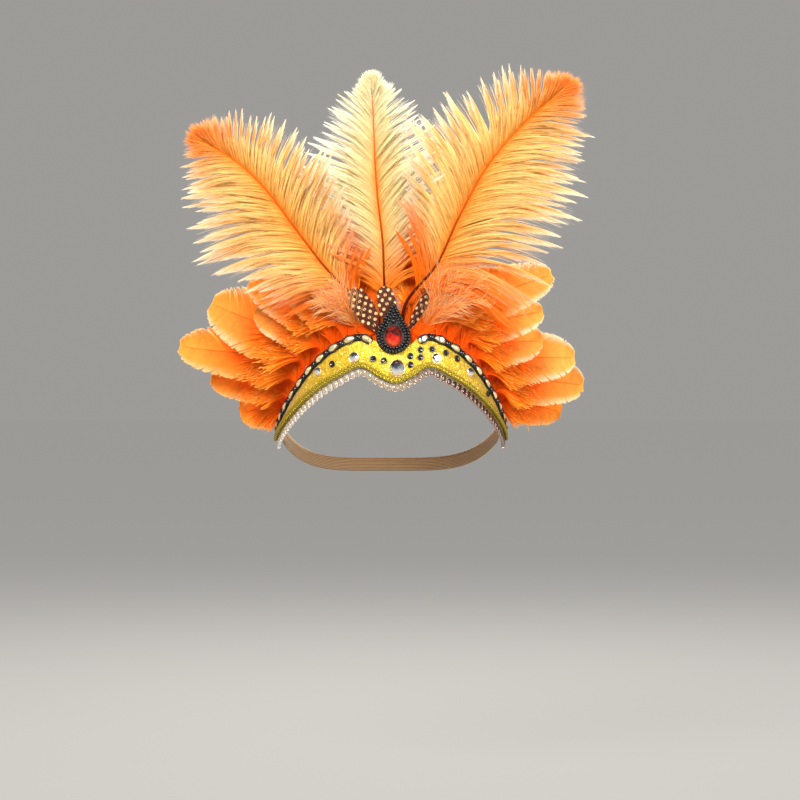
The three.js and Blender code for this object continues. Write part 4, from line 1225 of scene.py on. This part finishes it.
def plain_finish(name, light, dark, metallic, rough, coat=0.0):
    """A finish with a soft cloud of two close colours and a roughness that follows it."""
    finish = Finish(name)
    cloud = finish.noise(finish.here(), 400.0, 3.0)
    finish.set(Base_Color=finish.ramp(cloud, [(0.35, dark), (0.65, light)]))
    finish.set(Roughness=finish.map_range(cloud, 0.3, 0.7, 0.7 * rough, 1.3 * rough))
    finish.set(Metallic=metallic, Coat_Weight=coat, Coat_Roughness=0.05)
    finish.bump(cloud, 0.15, 0.0001)
    return finish.material


# %% Ring braid
RING_FROM = 12
RING_SLOT = 6.7
RING_OUT = BAND_WALL + 0.4
OVAL_RADIUS = 2.3
OVAL_RISE = 2.2
OVAL_LONG = 1.85
DOME_RADIUS = 2.4
CORD_STEP = 0.5
CORD_RADIUS = 0.62
CORD_SIDES = 6
TAPE_CORNERS = ((-1, 0.0), (-1, 0.45), (1, 0.45), (1, 0.0))
pale_gold = plain_finish("pale_gold", "FFF0C4", "D2B06A", 0.6, 0.24)
black_gloss = plain_finish("black_gloss", "0D0C0F", "030303", 0.0, 0.12, 0.3)
black_tape = metal_finish("black_braid_tape", dye("100E10"), dye("030303"), 0.0, 0.4, 5.0)
black_cord = metal_finish("black_braid_cord", dye("141014"), dye("040304"), 0.0, 0.24, 6.0)


def ring_middle(angle):
    return upper_edge(angle) - 0.5 * ring_braid_height(angle)


def on_ring_braid(angle):
    return head_point(angle, ring_middle(angle), RING_OUT)


def ring_braid(side):
    """A black tape with ovals at the even places, beads at the odd ones, and two cords round the ovals."""
    name = "ring_braid_" + ("left" if side < 0 else "right")
    start, end = side * RING_FROM, side * BAND_END
    slots = spaced_angles(on_ring_braid, start, end, RING_SLOT)
    frames = band_frames(slots, ring_middle, RING_OUT)
    ovals = copies(turned(dome(OVAL_RADIUS, OVAL_RISE), 16), frames[::2], (OVAL_LONG, 1, 1))
    beads = copies(turned(dome(DOME_RADIUS, DOME_RADIUS), 14), frames[1::2])
    fine = spaced_angles(on_ring_braid, start, end, CORD_STEP)
    q = (np.arange(len(fine)) + 0.5) / len(fine) * len(slots) - 0.5
    cord_frames = band_frames(fine, ring_middle, RING_OUT)
    half = 0.43 * ring_braid_height(fine)[:, None]
    corner_up, corner_out = np.array(TAPE_CORNERS).T
    tape = beside_path(cord_frames[:, None], 0, corner_out[:, None], (half * corner_up)[..., None])
    tape_uv = np.stack(np.broadcast_arrays(np.arange(len(fine))[:, None] * CORD_STEP, corner_up), axis=-1)
    mirror = np.array([[1.0], [-1.0]])
    swing = mirror * np.cos(0.5 * math.pi * q)
    over = 0.9 + mirror * 0.3 * np.sin(0.5 * math.pi * q)
    cords = beside_path(cord_frames[None], 0, over[..., None], (half[:, 0] * swing)[..., None])
    make_piece(name + "_tape", *closed_strip(tape), black_tape, "black_setting", [name],
               tape_uv.reshape(-1, 2))
    make_piece(name + "_ovals", *ovals, pale_gold, "ring_braid")
    make_piece(name + "_beads", *beads, black_gloss, "black_setting")
    make_piece(name + "_cords", *tubes(cords, CORD_RADIUS, CORD_SIDES), black_cord, "black_setting",
               uv=tube_uv(cords, CORD_SIDES))
    return frames


for side in (-1, 1):
    ring_frames = ring_braid(side)
print("ovals and beads on the right:", len(ring_frames))

# %% [markdown]
# ## Bead fringe
# Flat glass beads hang side by side below the lower edge. One bead is turned from a short profile,
# squashed along the line of sight, and copied to places at equal distances. Their colour is painted light,
# read from how far round the band each hangs: milky at one end as a painted reflection, and smoky and
# dark at the other as painted shade seen through the glass, with a painted highlight at each bead's edge.

# %% Bead fringe
BEAD_RADIUS = 2.6
BEAD_TALL = 1.1
BEAD_HALF_DEPTH = 1.4
BEAD_PITCH = 4.72
BEAD_GAP = 0.42
BEAD_DROP = BEAD_GAP + BEAD_TALL * BEAD_RADIUS
BEAD_ROUND = 0.7
THREAD_STEP = 0.8
THREAD_RADIUS = 0.4
THREAD_SIDES = 6


def bead_glass():
    """Glass whose colour is painted light by how far round it hangs: milky as a painted reflection at one
    end, smoky and dark as painted shade at the other, and paler toward each bead's edge as a painted
    highlight.
    """
    finish = Finish("fringe_glass")
    cloud = finish.noise(finish.here(), 350.0)
    place = finish.value("round")
    # Painted light: a painted reflection at one end of the band, painted shade at the other, and a painted
    # highlight toward each bead's edge.
    glass_tint_and_painted_light = finish.ramp(place, [(0.3, "C4B8A8"), (0.52, "A89078"), (0.68, "441418")])
    painted_rim_highlight = finish.ramp(place, [(0.3, "FBF6EC"), (0.52, "F0E0CC"), (0.75, "C8A48C")])
    colour = finish.blend(finish.map_range(finish.value("painted_rim_highlight"), 0.72, 0.95), glass_tint_and_painted_light, painted_rim_highlight)
    finish.set(Base_Color=colour, Roughness=finish.map_range(cloud, 0.3, 0.7, 0.03, 0.14))
    finish.set(Transmission_Weight=0.5, IOR=1.5, Coat_Weight=0.5, Coat_Roughness=0.04)
    return finish.material


def fringe_frames(angle):
    frames = band_frames(angle, lower_edge, 0.5 * BAND_WALL)
    frames[..., 3] -= BEAD_DROP * frames[..., 2]
    return frames


def on_fringe(angle):
    return fringe_frames(angle)[..., 3]


bead_turn = np.linspace(-math.pi / 2, math.pi / 2, 8)
bead_profile = list(zip(BEAD_RADIUS * np.cos(bead_turn) ** BEAD_ROUND, BEAD_HALF_DEPTH * np.sin(bead_turn)))
bead = turned(bead_profile, 14)
angle = spaced_angles(on_fringe, -BAND_END, BAND_END, BEAD_PITCH)
points, faces = copies(bead, fringe_frames(angle), (0.94, 1, BEAD_TALL))
round_band = np.repeat(0.5 + 0.5 * angle / BAND_END, len(bead[0]))
# Where the painted highlight at each bead's edge goes: the distance from the bead's axis.
painted_rim_highlight = np.tile(np.hypot(bead[0][:, 0], bead[0][:, 2]) / BEAD_RADIUS, len(angle))
make_piece("fringe_beads", points, faces, bead_glass(), "clear_bead", ["bead_fringe"],
           fields={"round": round_band, "painted_rim_highlight": painted_rim_highlight})
thread_angle = spaced_angles(on_fringe, -BAND_END, BAND_END, THREAD_STEP)
thread = beside_path(fringe_frames(thread_angle), 0, 0, BEAD_TALL * BEAD_RADIUS - 0.25)[None]
make_piece("fringe_thread", *tubes(thread, THREAD_RADIUS, THREAD_SIDES), braid_gold, "edge_braid",
           uv=tube_uv(thread, THREAD_SIDES))
print("beads in the fringe:", len(angle))

# %% [markdown]
# ## Stones and sequins
# A cut stone is rings of points at a few heights, and every second ring is turned by half a step, so the
# faces between them are triangles that catch the light in turn. It is left flat-shaded. The clear ones
# have a foil back like every costume stone, so they are treated as bright metal under a clear coat. The
# colour of each stone runs from its foot to its top as painted reflection and painted shade.


# %% Stones
def cut_stone(levels, sides):
    """Rings of (radius, height, half steps turned). Rings with the same turn are joined by quads, and others
    by triangles that zigzag between them. The lowest and the highest ring are closed flat."""
    turn = 2 * math.pi * (np.arange(sides)[None] + 0.5 * np.array([[k] for _, _, k in levels])) / sides
    radius, height = (np.array([[row[i]] for row in levels], float) for i in (0, 1))
    points = np.stack(np.broadcast_arrays(radius * np.cos(turn), height, radius * np.sin(turn)), axis=-1)
    first = np.arange(sides)
    after = (first + 1) % sides
    quads, zigzags = [], []
    for ring in range(len(levels) - 1):
        a, b = ring * sides, (ring + 1) * sides
        if levels[ring][2] == levels[ring + 1][2]:
            quads.append(np.stack([first + a, after + a, after + b, first + b], axis=-1))
        elif levels[ring][2] == 0:
            zigzags.append(np.stack([first + a, after + a, first + b], axis=-1))
            zigzags.append(np.stack([after + a, after + b, first + b], axis=-1))
        else:
            zigzags.append(np.stack([first + a, after + b, first + b], axis=-1))
            zigzags.append(np.stack([first + a, after + a, after + b], axis=-1))
    ends = np.stack([first[::-1], first + (len(levels) - 1) * sides])
    points = points.reshape(-1, 3)
    return points, facing_out(points, [np.concatenate(quads), np.concatenate(zigzags), ends])


STONE_LEVELS = [(1, 0, 0), (1, 0.22, 0), (0.82, 0.62, 1), (0.56, 1, 0)]
STONE_SIDES = 12


def foil_and_painted_reflection_finish(name, stops, metallic):
    """Foil seen through cut glass: the colour runs from the top of the stone to its foot, as painted
    reflection and painted shade over the stone's own colour.
    """
    finish = Finish(name)
    cloud = finish.noise(finish.here(), 260.0)
    height = finish.math("ADD", finish.value("height"), finish.map_range(cloud, 0.3, 0.7, -0.15, 0.15))
    finish.set(Base_Color=finish.ramp(height, stops))
    finish.set(Roughness=finish.map_range(cloud, 0.3, 0.7, 0.03, 0.08))
    finish.set(Metallic=metallic, Coat_Weight=1.0, Coat_Roughness=0.02)
    return finish.material


# Painted reflection on the clear stones: a warm light foot, a white band, then grey to dark toward the top.
clear_foil_painted_reflection = foil_and_painted_reflection_finish("clear_stone_painted_reflection", metallic=0.8, stops=[
    (0.0, "FFE2A8"), (0.3, "FFFFFF"), (0.46, "D8DCE0"), (0.62, "5C666E"), (1.0, "2A3036")])
COLLAR_SHARE = 1.02
COLLAR_RADIUS = 0.35
COLLAR_OUT = 0.3
BRAID_STONE_SIZE = (2.5, 2.9, 2.5)
STONE_COLUMNS = ("name", "angle", "z", "radius", "rise", "tall")
STONE_ROWS = [
    ("centre_stone", 1, 49.5, 5, 3.4, 1.15),
    ("band_stone_left_1", -20.5, 57, 3.45, 2.2, 1),
    ("band_stone_left_2", -41, 47.6, 3, 2, 1),
    ("band_stone_right_1", 21, 56.4, 3.45, 2.2, 1),
    ("band_stone_right_2", 41, 47.2, 3, 2, 1),
]


def painted_reflection_height(shape, count=1):
    """What the painted reflection reads at each point of a stone and its copies: 0 at its lower edge and 1 at
    its upper.
    """
    return {"height": np.tile(0.5 + 0.5 * shape[0][:, 2], count)}


def seat_frame(angle, z, out):
    """A frame on the cloth at one place."""
    return band_frames(np.array([float(angle)]), lambda a: np.full_like(a, z), out)


stone = cut_stone(STONE_LEVELS, STONE_SIDES)
for cells in STONE_ROWS:
    row = dict(zip(STONE_COLUMNS, cells))
    radius = row["radius"]
    out = BAND_WALL + BAND_CROWN * 0.7 + radius**2 / (2 * HEAD_HALF_WIDTH)
    seat = seat_frame(row["angle"], row["z"], out)
    cut = copies(stone, seat, (radius, row["rise"], radius * row["tall"]))
    make_piece(row["name"] + "_cut", *cut, clear_foil_painted_reflection, "clear_stone", [row["name"]],
               fields=painted_reflection_height(stone), smooth=False)
    turn = np.linspace(0, FULL_TURN, 29)[:, None]
    aside = COLLAR_SHARE * radius * np.cos(turn)
    up = COLLAR_SHARE * radius * row["tall"] * np.sin(turn)
    ring = beside_path(seat, aside, COLLAR_OUT, up)[None]
    make_piece(row["name"] + "_collar", *tubes(ring, COLLAR_RADIUS, 6), pale_gold, "ring_braid")
braid_seats = ring_frames[[0, 2]]
braid_stones = copies(stone, braid_seats, BRAID_STONE_SIZE)
make_piece("braid_stones_cut", *braid_stones, clear_foil_painted_reflection, "clear_stone",
           fields=painted_reflection_height(stone, len(braid_seats)), smooth=False)
print("clear stones:", len(STONE_ROWS), "on the cloth and", len(braid_seats), "in the braid")

# %% Sequins
SEQUIN_PLACES = [
    (-10.8, 56), (-5.6, 54.6), (7.4, 51.8), (7.4, 57.6), (12.4, 56.9), (12.6, 62),
    (18.5, 62.4), (26, 60), (32.5, 56.2), (-32, 52.6), (54, 32.6),
]
SEQUIN_PROFILE = [
    (0, 0.1), (0.5, 0.12), (0.6, 0.3), (1.5, 0.42),
    (2.2, 0.9), (2.25, 0.78), (1.5, 0.2), (0, 0.0),
]
SEQUIN_GAP = 0.15
sequin = turned(SEQUIN_PROFILE, 18)
for number, (angle, z) in enumerate(SEQUIN_PLACES, 1):
    seat = seat_frame(angle, z, float(band_skin(angle, z)) + SEQUIN_GAP)
    name = f"sequin_{number}"
    make_piece(name + "_cup", *copies(sequin, seat), black_gloss, "black_sequin", [name])
print("sequins:", len(SEQUIN_PLACES))

# %% [markdown]
# ## Brooch
# The brooch is a drop: the outline round a large circle below and a small one above. Inset copies of the
# same outline carry rows of black seed beads, spaced by length along it. The red stone in the middle is
# the cut stone again, drawn out to an oval. All of it is drawn flat and then leaned back with the band.

# %% Brooch frame
DROP_RADIUS = 11.6
DROP_TIP_RADIUS = 1.7
DROP_RISE = 20.5
DROP_PLATE = 2.2
DROP_SLOPE = math.asin((DROP_RADIUS - DROP_TIP_RADIUS) / DROP_RISE)
DROP_APEX = DROP_RISE + DROP_TIP_RADIUS / math.sin(DROP_SLOPE)
BROOCH_LEAN = math.atan(FRONT_LEAN)
BROOCH_SEAT_Z = 62
BROOCH_GAP = 0.45
brooch_seat = head_point(0, BROOCH_SEAT_Z, BAND_WALL + BROOCH_GAP)
BROOCH_PLACE = np.array([BROOCH_X, brooch_seat[1] + FRONT_LEAN * (BROOCH_Z - BROOCH_SEAT_Z), BROOCH_Z])
brooch_axes = np.array([[1, 0, 0],
                        [0, -math.cos(BROOCH_LEAN), math.sin(BROOCH_LEAN)],
                        [0, math.sin(BROOCH_LEAN), math.cos(BROOCH_LEAN)]])


def on_brooch(flat, depth):
    """Flat (x, up) points and a depth toward the viewer, leaned back and set on the band."""
    local = np.stack(np.broadcast_arrays(flat[..., 0], depth, flat[..., 1]), axis=-1)
    return BROOCH_PLACE + local @ brooch_axes


def brooch_frames(flat, depth):
    """A frame at each flat point: across, toward the viewer, and up the brooch."""
    frames = np.zeros((len(flat), 3, 4))
    frames[..., :3] = brooch_axes.T
    frames[..., 3] = on_brooch(flat, depth)
    return frames


def drop_outline(inset, count):
    """Points at equal distances along the drop's outline, moved inward. Where the inset is larger than the
    tip's own radius, the two straight sides simply meet, lower down."""
    low = np.linspace(math.pi - DROP_SLOPE, 2 * math.pi + DROP_SLOPE, 80)
    high = np.linspace(DROP_SLOPE, math.pi - DROP_SLOPE, 30)
    tip_radius = max(DROP_TIP_RADIUS - inset, 0)
    tip = DROP_APEX - (inset + tip_radius) / math.sin(DROP_SLOPE)
    big = (DROP_RADIUS - inset) * np.stack([np.cos(low), np.sin(low)], axis=-1)
    small = tip_radius * np.stack([np.cos(high), np.sin(high)], axis=-1) + [0, tip]
    line = np.concatenate([big, small, big[:1]])
    lengths = lengths_along(line)
    at = np.arange(count) / count * lengths[-1]
    return np.stack([np.interp(at, lengths, line[:, k]) for k in (0, 1)], axis=-1)


# %% Brooch setting
PLATE_POINTS = 96
PLATE_LEVELS = [(0, 0.0), (0, 1.5), (0.5, 2.2), (2.5, 2.3), (4.5, 2.2)]
SEED_ROWS = [(1.25, 38, 1.12), (3.55, 30, 1.1)]
SEED_OUT = 0.35
INNER_OUT = 0.4
INNER_BEADS = [((0, 10.2), 1.5), ((0, 13.2), 1.2), ((0, 21.6), 1.3)]

plate = np.stack([on_brooch(drop_outline(inset, PLATE_POINTS), depth) for inset, depth in PLATE_LEVELS])
seed_turn = np.linspace(-math.pi / 2, math.pi / 2, 7)
seed_bead = turned(list(zip(np.cos(seed_turn), np.sin(seed_turn))), 10)
seeds = []
for inset, count, size in SEED_ROWS:
    seats = brooch_frames(drop_outline(inset, count), DROP_PLATE + SEED_OUT)
    seeds.append(copies(seed_bead, seats, (size, size, size)))
for flat, size in INNER_BEADS:
    seats = brooch_frames(np.array([flat], float), DROP_PLATE + INNER_OUT)
    seeds.append(copies(seed_bead, seats, (size, size, size)))
black_plate = plain_finish("black_brooch_plate", "0A090A", "030303", 0.0, 0.75)
make_piece("brooch_plate", *closed_strip(plate), black_plate, "black_setting", ["brooch_setting"])
make_piece("brooch_seed_beads", *joined(seeds), black_gloss, "black_setting")
print("seed beads on the brooch:", sum(count for _, count, _ in SEED_ROWS) + len(INNER_BEADS))

# %% Red stone
RED_HALF_WIDTH = 5.8
RED_HALF_HEIGHT = 7.2
RED_LEVELS = [(1, 0, 0), (1, 0.25, 0), (0.84, 0.66, 1), (0.62, 1, 0)]
RED_SIDES = 14
RED_BACK = 1.3
RED_RISE = 4.0
# Painted light on the red stone: a bright orange foot, a dark band high up, and red again at the top.
red_foil_painted_light = foil_and_painted_reflection_finish("red_stone_painted_light", metallic=0.3, stops=[
    (0.0, "F4742C"), (0.3, "DC2A0C"), (0.5, "A01006"), (0.68, "2C0202"), (0.95, "8C0E08")])
red_shape = cut_stone(RED_LEVELS, RED_SIDES)
red_seat = brooch_frames(np.zeros((1, 2)), RED_BACK)
red_stone = copies(red_shape, red_seat, (RED_HALF_WIDTH, RED_RISE, RED_HALF_HEIGHT))
make_piece("brooch_stone_cut", *red_stone, red_foil_painted_light, "red_stone", ["brooch_stone"],
           fields=painted_reflection_height(red_shape), smooth=False)
print("the red stone is", 2 * RED_HALF_WIDTH, "by", 2 * RED_HALF_HEIGHT, "mm")

# %% [markdown]
# ## Elastic
# A flat ribbed elastic runs from one end of the band to the other behind the head. It is a rectangle
# carried along the head ring, which sinks a little at the back. The ribs run lengthwise and are fine
# enough for bump.

# %% Elastic strap
STRAP_WIDTH = 10
STRAP_THICK = 1.2
STRAP_LIFT = 0.4
STRAP_START = 82
STRAP_DROP = 20
STRAP_END_SHARE = 0.86
STRAP_STEPS = 120
RIB_PITCH = 1.1
WEAVE_PITCH = 0.7


def elastic_finish():
    """Tan elastic: ribs along its length and a fine weave across them, with painted shade in the grooves and
    lighter crests.
    """
    finish = Finish("tan_ribbed_elastic")
    along, up, _ = finish.uv()
    ribs = finish.math("SINE", finish.math("MULTIPLY", up, FULL_TURN / RIB_PITCH))
    weave = finish.math("SINE", finish.math("MULTIPLY", along, FULL_TURN / WEAVE_PITCH))
    both = finish.math("ADD", ribs, finish.math("MULTIPLY", weave, 0.4))
    # Painted shade in the grooves between ribs, lighter on their crests.
    colour = finish.ramp(finish.map_range(both, -1.4, 1.4), [(0.0, "7A5A34"), (1.0, "C8A87C")])
    finish.set(Base_Color=colour, Roughness=finish.map_range(both, -1.4, 1.4, 0.85, 0.7), Sheen_Weight=0.2)
    finish.bump(both, 0.5, 0.0003)
    return finish.material


angle = np.linspace(STRAP_START, 360 - STRAP_START, STRAP_STEPS)
behind = -np.cos(np.radians(angle))
seam_angle = 0.5 * (STRAP_START + BAND_END)
seam = 0.5 * (lower_edge(seam_angle) + upper_edge(seam_angle))
middle = mix(seam, -STRAP_DROP, ease(behind, -0.1, 1.0))
half = 0.5 * STRAP_WIDTH * mix(STRAP_END_SHARE, 1, ease(behind, 0.0, 0.3))
face_up = np.linspace(1, -1, 5)
corner_up = np.concatenate([face_up, face_up[::-1]])
corner_out = np.repeat([0, -STRAP_THICK], len(face_up))
z = middle[:, None] + half[:, None] * corner_up
sections = head_point(angle[:, None], z, corner_out - STRAP_LIFT)
lengths = lengths_along(sections[:, 2])
uv = np.stack(np.broadcast_arrays(lengths[:, None], half[:, None] * corner_up), axis=-1).reshape(-1, 2)
webbing = closed_strip(sections)
strap = make_piece("elastic_strap_webbing", *webbing, elastic_finish(), "elastic", ["elastic_strap"], uv)
print("elastic length in mm:", round(float(lengths[-1])))

# %% [markdown]
# ## Triangles
# The script ends by printing how many triangles the new pieces add. The visual model has to stay in
# the box of the solids, give or take a little fluff.

# %% Finish
print("triangles added:", sum(triangles.values()))
